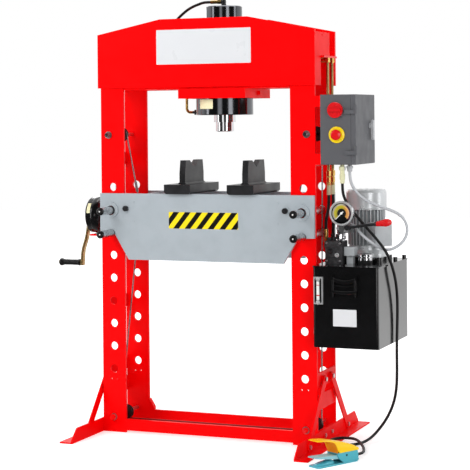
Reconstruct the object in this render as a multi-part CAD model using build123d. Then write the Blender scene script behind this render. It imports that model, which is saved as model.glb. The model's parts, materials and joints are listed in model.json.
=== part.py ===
"""Floor-standing hydraulic workshop press with a motor pump, built from separate named pieces.

Millimetres, +Z up, the front faces -Y. X = 0 is the middle of the frame.
"""
import math
import os

from build123d import *

# Columns and frame
column_x = 444.0
web_width = 110.0
web_thickness = 12.0
frame_depth = 252.0
column_height = 1738.0
hole_pitch = 100.0
hole_top = 1079.0
hole_count = 9
hole_radius = 18.0
beam_low = 9.0
beam_high = 59.0
rear_flare = 26.0
tie_thickness = 6.0
tie_spans = [(0, 62), (147, 211), (243, 304), (525, 584), (1173, 1228)]

# Crown
crown_plate = 15.0
crown_low = 1514.0
crown_shoulder = 1749.0
crown_top = 1810.0
crown_flat = 204.0
rail_leg = 40.0
rail_thickness = 12.0
rail_low = 1505.0
end_plate = 7.0

# Cylinder and its carriage
cylinder_x = 41.0
carriage_half = 155.0
carriage_depth = 304.0
carriage_low = 1464.0
carriage_wall = 12.0
head_radius = 125.0
head_low = 1392.0
barrel_radius = 80.0
barrel_top = 1866.0
bore_radius = 65.0
ram_radius = 48.0
ram_low = 1361.0
nose_radius = 40.0
nose_length = 41.0

# Bed
bed_plate = 18.0
bed_gap = 1.0
bed_inset = 1.5
bed_rise = 73.0
bed_wing = 107.0
bed_depth = 216.0
pin_radius = 16.75
pin_play = 4.25
notch_radius = 19.0
rod_inset = 73.0
rod_radius = 8.0

# Cable drive
cable_radius = 3.0
pitch_radius = 27.0
flange_radius = 32.0
sheave_high_z = 1308.0
sheave_low_z = 66.0
winch_y = -34.0
winch_z = 950.0

# Pump unit
tank_left = 505.0
tank_right = 787.0
tank_front = -191.0
tank_back = 259.0
tank_low = 427.0
tank_top = 764.0
motor_x = 655.0
motor_y = 89.0
motor_radius = 80.0

# Control box
box_left = 523.0
box_right = 656.0
box_front = -126.0
box_back = 149.0
box_low = 1180.0
box_high = 1473.0
box_sheet = 2.0
door_thickness = 20.0

# Fits
running_fit = 0.05
seat_gap = 0.3
cord_diameter = 12.0
pin_drop = hole_radius - pin_radius - running_fit

half_depth = frame_depth / 2
web_inner = half_depth - web_thickness
column_in = column_x - web_width / 2
column_out = column_x + web_width / 2
crown_outer = half_depth + crown_plate
carriage_high = rail_low - seat_gap
bed_inner = half_depth + bed_gap
bed_outer = bed_inner + bed_plate
crown_half = column_out + end_plate
bed_half = column_out - bed_inset
pin_row_high = hole_top - hole_pitch
pin_row_low = pin_row_high - hole_pitch
bed_top = pin_row_high + bed_rise
bed_end = pin_row_high - bed_wing
bed_low = pin_row_high - bed_depth
rod_x = column_x - rod_inset
rod_z = pin_row_high + 7
sheave_high = (column_x + 18, sheave_high_z)
sheave_low = (column_x + 4, sheave_low_z)

# The winch and the pump side are drawn with the columns' outer faces at this X,
# and move aside with the columns
side_face = 499.0
right_aside = column_out - side_face
left_aside = -right_aside


def block(x0, x1, y0, y1, z0, z1):
    """Rectangular solid between two corners."""
    return Pos((x0 + x1) / 2, (y0 + y1) / 2, (z0 + z1) / 2) * Box(x1 - x0, y1 - y0, z1 - z0)


def square_to(axis, u, v, at):
    """Plane square to an axis; u and v are the other two coordinates."""
    if axis == "x":
        return Plane(origin=(at, u, v), x_dir=(0, 1, 0), z_dir=(1, 0, 0))
    if axis == "y":
        return Plane(origin=(u, at, v), x_dir=(1, 0, 0), z_dir=(0, 1, 0))
    return Plane(origin=(u, v, at), x_dir=(1, 0, 0), z_dir=(0, 0, 1))


def rod(axis, radius, start, end, u, v):
    """Round bar along an axis from start to end."""
    return extrude(square_to(axis, u, v, start) * Circle(radius), end - start)


def tube(axis, outer, inner, start, end, u, v):
    """Round tube along an axis from start to end."""
    ring = Circle(outer) - Circle(inner)
    return extrude(square_to(axis, u, v, start) * ring, end - start)


def hexagon(axis, radius, start, end, u, v):
    """Hexagonal bar, the size of a bolt head or nut."""
    return extrude(square_to(axis, u, v, start) * RegularPolygon(radius, 6), end - start)


def outline(points):
    """Closed flat face through corner points."""
    return make_face(Polyline(*points, close=True))


def plate_y(points, y0, y1):
    """Plate with an X, Z outline between two depths."""
    plane = Plane(origin=(0, y1, 0), x_dir=(1, 0, 0), z_dir=(0, -1, 0))
    return extrude(plane * outline(points), y1 - y0)


def plate_x(points, x0, x1):
    """Plate with a Y, Z outline between two X values."""
    plane = Plane(origin=(x0, 0, 0), x_dir=(0, 1, 0), z_dir=(1, 0, 0))
    return extrude(plane * outline(points), x1 - x0)


def plate_z(points, z0, z1):
    """Plate with an X, Y outline between two heights."""
    return extrude(Pos(0, 0, z0) * outline(points), z1 - z0)


def turned(points, axis, u, v):
    """Solid of revolution from (radius, height) points about a line along an axis."""
    solid = revolve(Plane.XZ * outline(points), Axis.Z)
    if axis == "y":
        return Pos(u, 0, v) * Rot(-90, 0, 0) * solid
    if axis == "x":
        return Pos(0, u, v) * Rot(0, 90, 0) * solid
    return Pos(u, v, 0) * solid


def mirrored_x(solid):
    """The same piece on the other side of the middle."""
    return mirror(solid, about=Plane.YZ)


def mirrored_y(solid):
    """The same piece at the other face of the frame."""
    return mirror(solid, about=Plane.XZ)


def tangent_path(points):
    """Straight runs joined by arcs as large as each pair of runs allows."""
    places = [Vector(*point) for point in points]
    edges = []
    radii = []
    last = places[0]
    for before, here, after in zip(places, places[1:], places[2:]):
        run_in = here - before
        run_out = after - here
        turn = math.radians(run_in.get_angle(run_out))
        reach = 0.45 * min(run_in.length, run_out.length)
        radii.append(reach / math.tan(turn / 2))
        start = here - run_in.normalized() * reach
        end = here + run_out.normalized() * reach
        edges.append(Line(last, start))
        edges.append(TangentArc(start, end, tangent=run_in))
        last = end
    edges.append(Line(last, places[-1]))
    return Wire([edge.edge() for edge in edges]), radii


def cord(points, diameter):
    """Round cord along a route, with the smallest radius of its arcs."""
    path, radii = tangent_path(points)
    start = Vector(*points[0])
    ahead = Vector(*points[1]) - start
    section = Plane(origin=start, z_dir=ahead) * Circle(diameter / 2)
    solid = sweep(section, path=path)
    return solid, path.length, radii


nodes = {}


def add(name, *solids, aside=0.0):
    """Keep one node made of one or more solids, moved aside with the column that carries it."""
    parts = [part for solid in solids for part in solid.solids()]
    nodes[name] = [part.translate((aside, 0, 0), transform=True) for part in parts] if aside else parts


# Column webs: front and rear plates with one row of pin holes
web_holes = [hole_top - hole_pitch * row for row in range(hole_count)]


def column_web(rear):
    """Right-hand web plate of one face of the frame."""
    y0, y1 = (web_inner, half_depth) if rear else (-half_depth, -web_inner)
    points = [(column_in, column_height), (column_out, column_height), (column_out, 0)]
    if rear:
        points += [(column_in - rear_flare, 0), (column_in - rear_flare, 66), (column_in, 108)]
    else:
        points += [(column_in, 0)]
    web = plate_y(points, y0, y1)
    for height in web_holes:
        web -= rod("y", hole_radius, y0 - 1, y1 + 1, column_x, height)
    for side in (-14, 14):
        web -= rod("y", 4, y0 - 1, y1 + 1, column_x + side, 233)
    for across, height in (sheave_high, sheave_low):
        web -= rod("y", rod_radius, y0 - 1, y1 + 1, across, height)
    return web


right_front = column_web(False)
right_rear = column_web(True)
add("right_webs", right_front, right_rear)
add("left_webs", mirrored_x(right_front), mirrored_x(right_rear))

ties = []
for low, high in tie_spans:
    tie = block(column_out - tie_thickness, column_out, -web_inner, web_inner, low, high)
    ties += [tie, mirrored_x(tie)]
box_reach = box_left - side_face
for low, high in ((box_low, box_low + 47), (box_high - 51, box_high - 5)):
    ties.append(block(column_out, column_out + box_reach, -half_depth, -web_inner, low, high))
    ties.append(block(column_out, column_out + box_reach, web_inner, half_depth, low, high))
add("column_ties", *ties)

# Base
base = [
    block(-column_in, column_in, -half_depth, -web_inner, beam_low, beam_high),
    block(rear_flare - column_in, column_in - rear_flare, web_inner, half_depth, beam_low, beam_high),
]
add("base_beams", *base)

foot_reach = 425.0
foot_leg = 60.0
foot_sheet = 6.0
leg_shape = [
    (-foot_reach, 0), (foot_reach, 0), (foot_reach, 12), (foot_reach - 50, foot_leg),
    (50 - foot_reach, foot_leg), (-foot_reach, 12),
]
foot_face = column_out + foot_sheet
foot = plate_x(leg_shape, column_out, foot_face)
foot += block(foot_face - 1, column_out + foot_leg, -foot_reach, foot_reach, 0, foot_sheet)
brace_top = (48.0, 271.0)
brace_foot = (258.0, 25.0)
brace_run = math.hypot(brace_foot[0] - brace_top[0], brace_top[1] - brace_foot[1])
brace_tilt = math.degrees(math.atan2(brace_foot[1] - brace_top[1], brace_foot[0] - brace_top[0]))
brace_place = Plane(origin=(foot_face, 0, 0), x_dir=(0, 1, 0), z_dir=(1, 0, 0))
brace_mid = ((brace_top[0] + brace_foot[0]) / 2, (brace_top[1] + brace_foot[1]) / 2)
brace_face = Pos(*brace_mid) * Rot(0, 0, brace_tilt) * SlotCenterToCenter(brace_run, 36)
brace = extrude(brace_place * brace_face, foot_sheet)
spacer = rod("x", 16, column_out, foot_face, *brace_top)
foot_set = [foot, brace, mirrored_y(brace), spacer, mirrored_y(spacer)]
add("feet_and_braces", *foot_set, *[mirrored_x(piece) for piece in foot_set])

fasteners = []
brace_out = foot_face + foot_sheet
for side in (-1, 1):
    for y, z in (brace_top, brace_foot):
        fasteners.append(hexagon("x", 10, brace_out, brace_out + 6, side * y, z))
    fasteners.append(hexagon("x", 9, foot_face, foot_face + 6, side * 45, 33))
fasteners += [mirrored_x(bolt) for bolt in fasteners]
axle_front = -half_depth - 25
for across, height in (sheave_high, sheave_low):
    axle = rod("y", rod_radius, axle_front, half_depth + 18, across, height)
    for start in (-half_depth - 3, half_depth):
        axle += rod("y", 16, start, start + 3, across, height)
    axle += hexagon("y", 13, -half_depth - 16, -half_depth - 3, across, height)
    axle += hexagon("y", 13, half_depth + 3, half_depth + 14, across, height)
    fasteners += [axle, mirrored_x(axle)]
add("frame_fasteners", *fasteners)

# Crown
crown_shape = [
    (-crown_half, crown_low), (crown_half, crown_low), (crown_half, crown_shoulder),
    (crown_flat, crown_top), (-crown_flat, crown_top), (-crown_half, crown_shoulder),
]
crown_front = plate_y(crown_shape, -crown_outer, -half_depth)
add("crown_plates", crown_front, mirrored_y(crown_front))

rail_shape = [
    (half_depth, rail_low), (half_depth, rail_low + rail_leg),
    (half_depth - rail_thickness, rail_low + rail_leg),
    (half_depth - rail_thickness, rail_low + rail_thickness),
    (half_depth - rail_leg, rail_low + rail_thickness), (half_depth - rail_leg, rail_low),
]
rail = plate_x(rail_shape, 3 - column_in, column_in - 3)
add("crown_rails", rail, mirrored_y(rail))

left_end = block(-crown_half, -column_out, -half_depth, half_depth, crown_low, column_height + 2)
notch_high = crown_low + 126
right_shape = [
    (-half_depth, crown_low), (-61, crown_low), (-61, notch_high), (56, notch_high), (56, crown_shoulder - 9),
    (-half_depth, crown_shoulder - 9),
]
right_end = plate_x(right_shape, column_out, crown_half)
slot_low = crown_shoulder - 24
right_end -= block(column_out - 1, crown_half + 1, -47.5, -34.5, slot_low, slot_low + 4)
add("crown_end_plates", left_end, right_end)

# Pipes from the crown to the pump
pipe_x = crown_half + 4
pipe_rows = (17.5, 75.5)
pipe_radius = 6.0
union_high = 1150.0
hose_high = 1047.0
bracket_low = crown_low + 118
pipe_bracket = block(column_out - 29, pipe_x + 10, -58, web_inner, bracket_low, bracket_low + 8)
pipes = [pipe_bracket]
for row in pipe_rows:
    pipe = rod("z", pipe_radius, union_high, bracket_low, pipe_x, row)
    pipe += hexagon("z", 11, bracket_low - 20, bracket_low, pipe_x, row)
    pipe += rod("x", 8.5, column_out - 34, pipe_x, row, bracket_low - 10)
    pipe += hexagon("z", 10.5, union_high - 22, union_high, pipe_x, row)
    pipe += hexagon("z", 9.5, union_high - 50, union_high - 28, pipe_x, row)
    pipe += rod("z", 8, union_high - 65, union_high - 20, pipe_x, row)
    pipe += rod("z", 8.5, hose_high, union_high - 64, pipe_x, row)
    pipes.append(pipe)
add("rigid_pipes", *pipes)

# Carriage that carries the cylinder along the crown rails
carriage = block(
    cylinder_x - carriage_half, cylinder_x + carriage_half,
    -carriage_depth / 2, carriage_depth / 2, carriage_low, carriage_high,
)
inner_half = carriage_half - carriage_wall
inner_depth = carriage_depth / 2 - carriage_wall
plate_low = carriage_high - carriage_wall
carriage -= block(
    cylinder_x - inner_half, cylinder_x + inner_half,
    -inner_depth, inner_depth, carriage_low - 1, plate_low,
)
carriage -= rod("z", barrel_radius + 3, plate_low - 1, carriage_high + 1, cylinder_x, 0)
neck_half = half_depth - rail_leg - 2
flange_half = half_depth - rail_thickness - 2
flange_low = rail_low + rail_thickness + seat_gap
for near, far in ((-carriage_half + 2, -101), (101, carriage_half - 2)):
    left, right = cylinder_x + near, cylinder_x + far
    carriage += block(left, right, -neck_half, neck_half, carriage_high - 1, flange_low + 12)
    carriage += block(left, right, -flange_half, flange_half, flange_low, flange_low + 12)
carriage_bolt = block(
    cylinder_x + carriage_half, cylinder_x + carriage_half + 9, 5, 23, carriage_low + 14, carriage_low + 32,
)
add("carriage", carriage + carriage_bolt)

# Cylinder, ram and nose
head_high = plate_low
stroke = 250.0
piston_top = barrel_top - 25
cylinder_shape = [
    (ram_radius + running_fit, head_low), (head_radius - 3, head_low), (head_radius, head_low + 3),
    (head_radius, head_high), (barrel_radius, head_high), (barrel_radius, barrel_top - 4),
    (barrel_radius - 4, barrel_top), (0, barrel_top), (0, barrel_top - 20),
    (bore_radius, barrel_top - 20), (bore_radius, head_low + 48), (ram_radius + running_fit, head_low + 48),
]
add("cylinder", turned(cylinder_shape, "z", cylinder_x, 0))
piston = bore_radius - running_fit
ram_shape = [
    (0, ram_low), (ram_radius, ram_low), (ram_radius, piston_top - 60), (piston, piston_top - 60),
    (piston, piston_top), (0, piston_top),
]
add("ram", turned(ram_shape, "z", cylinder_x, 0))
nose_low = ram_low - nose_length
nose_shape = [
    (0, nose_low), (nose_radius - 3, nose_low), (nose_radius, nose_low + 3),
    (nose_radius, ram_low), (0, ram_low),
]
nose = turned(nose_shape, "z", cylinder_x, 0)
nose += rod("y", 4, -nose_radius - 2, -nose_radius + 5, cylinder_x, ram_low - 20)
add("ram_nose", nose)

top_port = barrel_top
port_z = head_low + 13
port_x = cylinder_x - head_radius
elbow = rod("z", 11, top_port, top_port + 12, cylinder_x, 0)
elbow += rod("z", 8.5, top_port + 10, top_port + 32, cylinder_x, 0)
elbow += rod("x", 8.5, 30, cylinder_x + 8, 0, top_port + 21)
ferrule = rod("x", 8, -20, 30, 0, top_port + 21)
ferrule += hexagon("x", 10.5, 14, 30, 0, top_port + 21)
return_fitting = rod("x", 9, port_x - 16, port_x + 2, 0, port_z)
return_fitting += hexagon("x", 13, port_x - 16, port_x - 2, 0, port_z)
return_fitting -= rod("z", head_radius, head_low, head_high, cylinder_x, 0)
return_x = port_x - 55
return_top = port_z + 195
return_path, return_radii = tangent_path(
    [(port_x - 16, 0, port_z), (return_x, 0, port_z), (return_x, 0, port_z + 60)]
)
return_pipe = sweep(Plane(origin=(port_x - 16, 0, port_z), z_dir=(-1, 0, 0)) * Circle(6), path=return_path)
return_pipe += rod("z", 6, port_z + 59, return_top, return_x, 0)
return_pipe += hexagon("z", 10, return_top - 18, return_top, return_x, 0)
add("cylinder_fittings", elbow, ferrule, return_fitting, return_pipe)

hose_end = column_out - 34
hose_z = bracket_low - 10
top_hose_route = [
    (-20, 0, top_port + 21), (-56, 0, top_port + 21), (-122, 0, 1865), (-182, 2, 1820), (-232, 8, 1762),
    (-250, 22, 1700), (-238, 52, 1643), (-200, 86, 1600), (-140, 104, 1582), (-60, 108, 1578),
    (30, 108, 1580), (130, 107, 1584), (225, 105, 1594), (310, 100, 1606), (385, 90, 1615),
    (hose_end - 35, pipe_rows[1], hose_z), (hose_end, pipe_rows[1], hose_z),
]
return_hose_route = [
    (return_x, 0, return_top), (return_x, 0, return_top + 40), (-126, -16, 1688), (-98, -50, 1710), (-55, -84, 1716),
    (10, -102, 1714), (90, -106, 1706), (170, -100, 1694), (245, -82, 1676), (310, -54, 1654),
    (366, -20, 1636), (400, 6, 1626), (hose_end - 33, pipe_rows[0], hose_z), (hose_end, pipe_rows[0], hose_z),
]
top_hose, top_length, top_radii = cord(top_hose_route, 12)
return_hose, return_length, hose_radii = cord(return_hose_route, 12)
add("crown_hoses", top_hose, return_hose)

# Bed with two side plates that stand over the columns
bed_knee = bed_half - 73.5
bed_foot = bed_half - 137.5
bolt_x = rod_x - 36
bolt_rows = (bed_top - 37, bed_top - 122)
bed_shape = [
    (-bed_half, bed_top), (bed_half, bed_top), (bed_half, bed_end), (bed_knee, bed_end - 2), (bed_foot, bed_low),
    (-bed_foot, bed_low), (-bed_knee, bed_end - 2), (-bed_half, bed_end),
]
bed_front = plate_y(bed_shape, -bed_outer, -bed_inner)
boss_front = -bed_outer - 6
for side in (-1, 1):
    across = side * column_x
    bed_front += rod("y", 35, boss_front, -bed_outer + 1, across, pin_row_high)
    high_hole = pin_row_high - pin_drop
    low_notch = pin_row_low - pin_drop + pin_radius + running_fit - notch_radius
    bed_front -= rod("y", pin_radius + pin_play, boss_front - 1, -bed_inner + 1, across, high_hole)
    bed_front -= rod("y", notch_radius, -bed_outer - 1, -bed_inner + 1, across, low_notch)
    bed_front -= rod("y", rod_radius, -bed_outer - 1, -bed_inner + 1, side * rod_x, rod_z)
    for height in bolt_rows:
        bed_front -= rod("y", 5, -bed_outer - 1, -bed_inner + 1, side * bolt_x, height)
add("bed_plates", bed_front, mirrored_y(bed_front))

cross = block(bolt_x - 6, bolt_x + 6, -bed_inner, bed_inner, bed_top - 152, bed_top - 7)
for height in bolt_rows:
    cross += rod("y", 5, -bed_outer - 2, -bed_inner + 1, bolt_x, height)
    cross += rod("y", 5, bed_inner - 1, bed_outer + 2, bolt_x, height)
add("bed_cross_plates", cross, mirrored_x(cross))

anchor = rod("y", rod_radius, -bed_outer - 1, bed_outer + 1, rod_x, rod_z)
anchor += rod("y", 12, -bed_outer - 12, -bed_outer, rod_x, rod_z)
anchor += rod("y", 12, bed_outer, bed_outer + 12, rod_x, rod_z)
add("anchor_rods", anchor, mirrored_x(anchor))

# V-blocks
block_half = 61.0
block_reach = 163.5
block_foot = 41.0
block_top = bed_top + 144
block_base = bed_top + block_foot
upright_shape = [
    (-103, block_base - 1), (103, block_base - 1), (103, block_top - 56), (93, block_top), (50, block_top),
    (0, block_top - 31), (-50, block_top), (-93, block_top), (-103, block_top - 56),
]
base_shape = [
    (-block_half, bed_top + 8), (-block_half + 8, bed_top), (block_half - 8, bed_top),
    (block_half, bed_top + 8), (block_half, block_base), (-block_half, block_base),
]
weld_shape = [(-22, block_base - 1), (-13, block_base + 8), (13, block_base + 8), (22, block_base - 1)]
v_block = plate_y(base_shape, -block_reach, block_reach)
v_block += plate_x(upright_shape, -13.5, 13.5)
v_block += plate_y(weld_shape, -107, 107)
for side in (-45, 45):
    v_block += rod("y", 4, -block_reach - 1.5, -block_reach + 2, side, bed_top + 21)
add("v_blocks", Pos(-119, 0, 0) * v_block, Pos(174, 0, 0) * v_block)

# Bed pins, pulled out from the front
pin_front = -bed_outer - 114
pin_back = bed_outer + 20
pin_shape = [
    (0, pin_front), (12, pin_front), (pin_radius, pin_front + 4), (pin_radius, pin_back - 3),
    (pin_radius - 3, pin_back), (0, pin_back),
]
for side, word in ((-1, "left"), (1, "right")):
    for height, level in ((pin_row_high, "upper"), (pin_row_low, "lower")):
        add("pin_" + word + "_" + level, turned(pin_shape, "y", side * column_x, height - pin_drop))

# Sheaves and cables
groove = pitch_radius - cable_radius - seat_gap
sheave_shape = [
    (rod_radius + running_fit, -9), (flange_radius, -9), (flange_radius, -6), (groove + 1, -4),
    (groove, -2), (groove, 2), (groove + 1, 4), (flange_radius, 6), (flange_radius, 9),
    (rod_radius + running_fit, 9),
]
for side, word in ((-1, "left"), (1, "right")):
    for place, level in ((sheave_high, "upper"), (sheave_low, "lower")):
        add("sheave_" + word + "_" + level, turned(sheave_shape, "y", side * place[0], place[1]))


def tangent_point(point, centre, radius, turn):
    """Where a line from a point touches a circle; turn is +1 or -1 for the side."""
    dx, dz = point[0] - centre[0], point[1] - centre[1]
    away = math.hypot(dx, dz)
    angle = math.atan2(dz, dx) + turn * math.acos(radius / away)
    return centre[0] + radius * math.cos(angle), centre[1] + radius * math.sin(angle)


def flat(point):
    """Point of the cable plane in space."""
    return (point[0], 0, point[1])


def arc_over(start, end, centre, upward):
    """Arc of a cable over or under a sheave."""
    return ThreePointArc(flat(start), (centre[0], 0, centre[1] + upward * pitch_radius), flat(end))


def round_cable(*edges):
    """Steel cable along lines and arcs."""
    path = Wire([edge.edge() for edge in edges])
    section = Plane(origin=path @ 0, z_dir=path % 0) * Circle(cable_radius)
    return sweep(section, path=path)


eye_radius = rod_radius + 4.5 + cable_radius
left_top = (-sheave_high[0], sheave_high[1])
left_low = (-sheave_low[0], sheave_low[1])
left_eye = (-rod_x, rod_z)
right_eye = (rod_x, rod_z)
drum_top = (-sheave_high[0] - pitch_radius, winch_z)


def eye_start(eye, target):
    """Point on the ring of an eye that faces the target."""
    away = math.hypot(target[0] - eye[0], target[1] - eye[1])
    step = eye_radius / away
    return eye[0] + (target[0] - eye[0]) * step, eye[1] + (target[1] - eye[1]) * step


up_in = tangent_point(left_eye, left_top, pitch_radius, 1)
up_in = up_in if up_in[0] > left_top[0] else tangent_point(left_eye, left_top, pitch_radius, -1)
up_out = (left_top[0] - pitch_radius, left_top[1])
winch_cable = round_cable(
    Line(flat(eye_start(left_eye, up_in)), flat(up_in)),
    arc_over(up_in, up_out, left_top, 1),
    Line(flat(up_out), flat(drum_top)),
)
low_in = tangent_point(left_eye, left_low, pitch_radius, 1)
low_in = low_in if low_in[0] < left_low[0] else tangent_point(left_eye, left_low, pitch_radius, -1)
low_out = (left_low[0], left_low[1] - pitch_radius)
rise_dx = sheave_high[0] - sheave_low[0]
rise_tilt = math.atan2(rise_dx, sheave_high[1] - sheave_low[1])
rise_low = (
    sheave_low[0] + pitch_radius * math.cos(rise_tilt), sheave_low[1] - pitch_radius * math.sin(rise_tilt),
)
rise_high = (rise_low[0] + rise_dx, rise_low[1] + sheave_high[1] - sheave_low[1])
cross_end = (sheave_low[0], sheave_low[1] - pitch_radius)
corner = math.sqrt(0.5) * pitch_radius
down_in = (-up_in[0], up_in[1])
equaliser = round_cable(
    Line(flat(eye_start(left_eye, low_in)), flat(low_in)),
    ThreePointArc(flat(low_in), (left_low[0] - corner, 0, left_low[1] - corner), flat(low_out)),
    Line(flat(low_out), flat(cross_end)),
    ThreePointArc(flat(cross_end), (sheave_low[0] + corner, 0, sheave_low[1] - corner), flat(rise_low)),
    Line(flat(rise_low), flat(rise_high)),
    arc_over(rise_high, down_in, sheave_high, 1),
    Line(flat(down_in), flat(eye_start(right_eye, down_in))),
)


def cable_eye(eye, target):
    """Ring round an anchor rod with a pressed sleeve on the cable above it."""
    ring = Plane(origin=flat(eye), z_dir=(0, 1, 0)) * Torus(eye_radius, cable_radius)
    ahead = Vector(target[0] - eye[0], 0, target[1] - eye[1]).normalized()
    foot_point = Vector(*flat(eye)) + ahead * (eye_radius + 1)
    sleeve = extrude(Plane(origin=foot_point, z_dir=ahead) * Circle(4), 22)
    return ring + sleeve


sleeve_ahead = Vector(up_in[0] - left_eye[0], 0, up_in[1] - left_eye[1]).normalized()
sleeve_start = Vector(*flat(left_eye)) + sleeve_ahead * 68
upper_sleeve = extrude(Plane(origin=sleeve_start, z_dir=sleeve_ahead) * Circle(6), 46)
left_cable = winch_cable + cable_eye(left_eye, up_in) + cable_eye(left_eye, low_in) + upper_sleeve + equaliser
left_cable += cable_eye(right_eye, down_in)
add("steel_cables", left_cable)

# Winch on the left column
drum_pitch = -winch_y
drum_radius = drum_pitch - cable_radius - seat_gap
drum_inner = -side_face + 2
drum_end = drum_inner + 35
winch_plate = -side_face - 8
shaft_radius = 8.0
hub_left = -560.0
drum_shape = [
    (0, -530), (shaft_radius, -530), (shaft_radius, drum_inner), (38, drum_inner), (38, drum_inner + 3),
    (drum_radius, drum_inner + 3), (drum_radius, -482), (35, -480.5), (35, -477.5), (drum_radius, -476),
    (35, -474.5), (35, -471.5), (drum_radius, -470), (drum_radius, drum_end - 3), (38, drum_end - 3),
    (38, drum_end), (0, drum_end),
]
drum = turned(drum_shape, "x", winch_y, winch_z)
add("winch_drum", drum, aside=left_aside)
winch_base = block(winch_plate, -side_face, -half_depth, 58, winch_z - 88, winch_z + 88)
winch_base += rod("x", 22, hub_left, winch_plate + 1, winch_y, winch_z)
winch_base -= rod("x", shaft_radius + running_fit, hub_left - 1, -side_face + 1, winch_y, winch_z)
shelf_low = winch_z - 93
shelf_shape = [
    (winch_plate - 80, shelf_low), (winch_plate, shelf_low), (winch_plate, shelf_low + 8),
    (winch_plate - 80, shelf_low + 8),
]
winch_base += plate_y(shelf_shape, -72, 4)
gusset_shape = [(winch_plate + 1, shelf_low + 3), (winch_plate - 70, shelf_low + 3), (winch_plate + 1, shelf_low - 29)]
winch_base += plate_y(gusset_shape, -37, -31)
winch_base += block(winch_plate, -side_face, -60, -8, shelf_low - 31, shelf_low + 7)
add("winch_base", winch_base, aside=left_aside)
cover_radius = 80.0
cover_left = -592.0
cover_shape = [
    (11, cover_left), (cover_radius - 5, cover_left), (cover_radius, cover_left + 5),
    (cover_radius, winch_plate - 8), (cover_radius + 3, winch_plate - 8), (cover_radius + 3, winch_plate),
    (cover_radius - 2, winch_plate), (cover_radius - 2, cover_left + 6), (cover_radius - 6, cover_left + 2),
    (11, cover_left + 2),
]
add("winch_cover", turned(cover_shape, "x", winch_y, winch_z), aside=left_aside)
crank = rod("x", shaft_radius, -623, -532, winch_y, winch_z)
crank += rod("x", 14, -604.5, -600, winch_y, winch_z)
crank_route = [
    (-611, winch_y, winch_z + 14), (-612, winch_y, winch_z - 60), (-622, winch_y, winch_z - 110),
    (-640, winch_y, winch_z - 160), (-644, winch_y, winch_z - 229),
]
crank_path, crank_radii = tangent_path(crank_route)
crank_section = Plane(origin=crank_route[0], x_dir=(1, 0, 0), z_dir=(-0.014, 0, -1)) * RectangleRounded(12, 26, 4)
crank += sweep(crank_section, path=crank_path)
grip_z = winch_z - 217
crank += rod("x", 6, -756, -640, winch_y, grip_z)
crank += rod("x", 10, -760, -756, winch_y, grip_z)
add("winch_crank", crank, aside=left_aside)
bore = 6 + running_fit
grip_shape = [
    (bore, -755.5), (15, -755.5), (17, -752), (17, -746), (13, -735), (12.5, -700), (13, -668),
    (15, -660), (14, -655), (bore, -655),
]
add("crank_grip", turned(grip_shape, "x", winch_y, grip_z), aside=left_aside)

# Control box
box = block(box_left, box_right, box_front, box_back, box_low, box_high)
box = fillet(box.edges().filter_by(Axis.X), 4)
box -= block(
    box_left + box_sheet, box_right - 12, box_front + box_sheet, box_back - box_sheet,
    box_low + box_sheet, box_high - box_sheet,
)
box -= block(box_right - 13, box_right + 1, box_front + 14, box_back - 14, box_low + 14, box_high - 14)
box += block(box_left + 1, box_left + 8, box_front + 30, box_back - 30, box_low + 30, box_high - 30)
hinge_x = 680.0
hinge_y = -129.0 - 4
knuckles = []
for low in (1222, 1392):
    box += block(box_right - 26, hinge_x, hinge_y - 1.5, hinge_y + 1.5, low, low + 16)
    box += block(box_right - 26, box_right - 10, hinge_y - 1.5, box_front + 1, low, low + 16)
    box += rod("z", 5, low, low + 16, hinge_x, hinge_y)
    box += rod("z", 2.5, low, low + 38, hinge_x, hinge_y)
for across, height in ((590, 1408), (595, 1305)):
    box -= rod("y", 6 + running_fit, box_front - 1, box_front + 3, across, height)
add("control_box", box, aside=right_aside)

door_left = box_right + 1
door_right = door_left + door_thickness
door = block(door_left, door_right, box_front, box_back, box_low, box_high)
door = fillet(door.edges().filter_by(Axis.X), 4)
door = chamfer(door.faces().sort_by(Axis.X)[-1].edges(), 2)
door -= block(
    door_left - 1, door_right - box_sheet, box_front + 3, box_back - 3, box_low + 3, box_high - 3,
)
for low in (1238.4, 1408.4):
    door += block(door_right - 6, hinge_x, hinge_y - 1.5, box_front + 1, low, low + 20)
    door += rod("z", 5, low, low + 20, hinge_x, hinge_y)
    door -= rod("z", 2.5 + running_fit, low - 1, low + 21, hinge_x, hinge_y)
handle_y = 78.0
handle_z = 1340.0
door -= rod("x", 5 + running_fit, door_right - 4, door_right + 1, handle_y, handle_z)
add("box_door", door, aside=right_aside)

handle = rod("x", 5, door_right - 10, door_right + 6, handle_y, handle_z)
handle += rod("x", 13, door_right + 0.4, door_right + 10, handle_y, handle_z)
handle_face = Pos(handle_y, handle_z - 17) * Rot(0, 0, 90) * SlotOverall(86, 19)
handle_plane = Plane(origin=(door_right + 9, 0, 0), x_dir=(0, 1, 0), z_dir=(1, 0, 0))
handle += extrude(handle_plane * handle_face, 9)
add("door_handle", handle, aside=right_aside)

switch_x, switch_z = 590.0, 1408.0
switch = rod("y", 6, box_front - 4, box_front + 12, switch_x, switch_z)
switch_shape = [
    (0, box_front - 14), (31, box_front - 14), (33, box_front - 12), (33, box_front - 0.4), (0, box_front - 0.4),
]
switch += turned(switch_shape, "y", switch_x, switch_z)
switch += block(switch_x - 28, switch_x + 28, box_front - 25, box_front - 13, switch_z - 6, switch_z + 6)
add("rotary_switch", switch, aside=right_aside)
stop_x, stop_z = 595.0, 1305.0
collar_shape = [
    (7, box_front - 9), (27, box_front - 9), (34.5, box_front - 4), (34.5, box_front), (7, box_front),
]
add("stop_collar", turned(collar_shape, "y", stop_x, stop_z), aside=right_aside)
stop_shape = [
    (0, box_front - 26), (14, box_front - 25), (21, box_front - 21), (22.5, box_front - 16),
    (20, box_front - 15.5), (6, box_front - 15.5), (6, box_front + 10), (0, box_front + 10),
]
add("emergency_stop", turned(stop_shape, "y", stop_x, stop_z), aside=right_aside)

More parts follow.
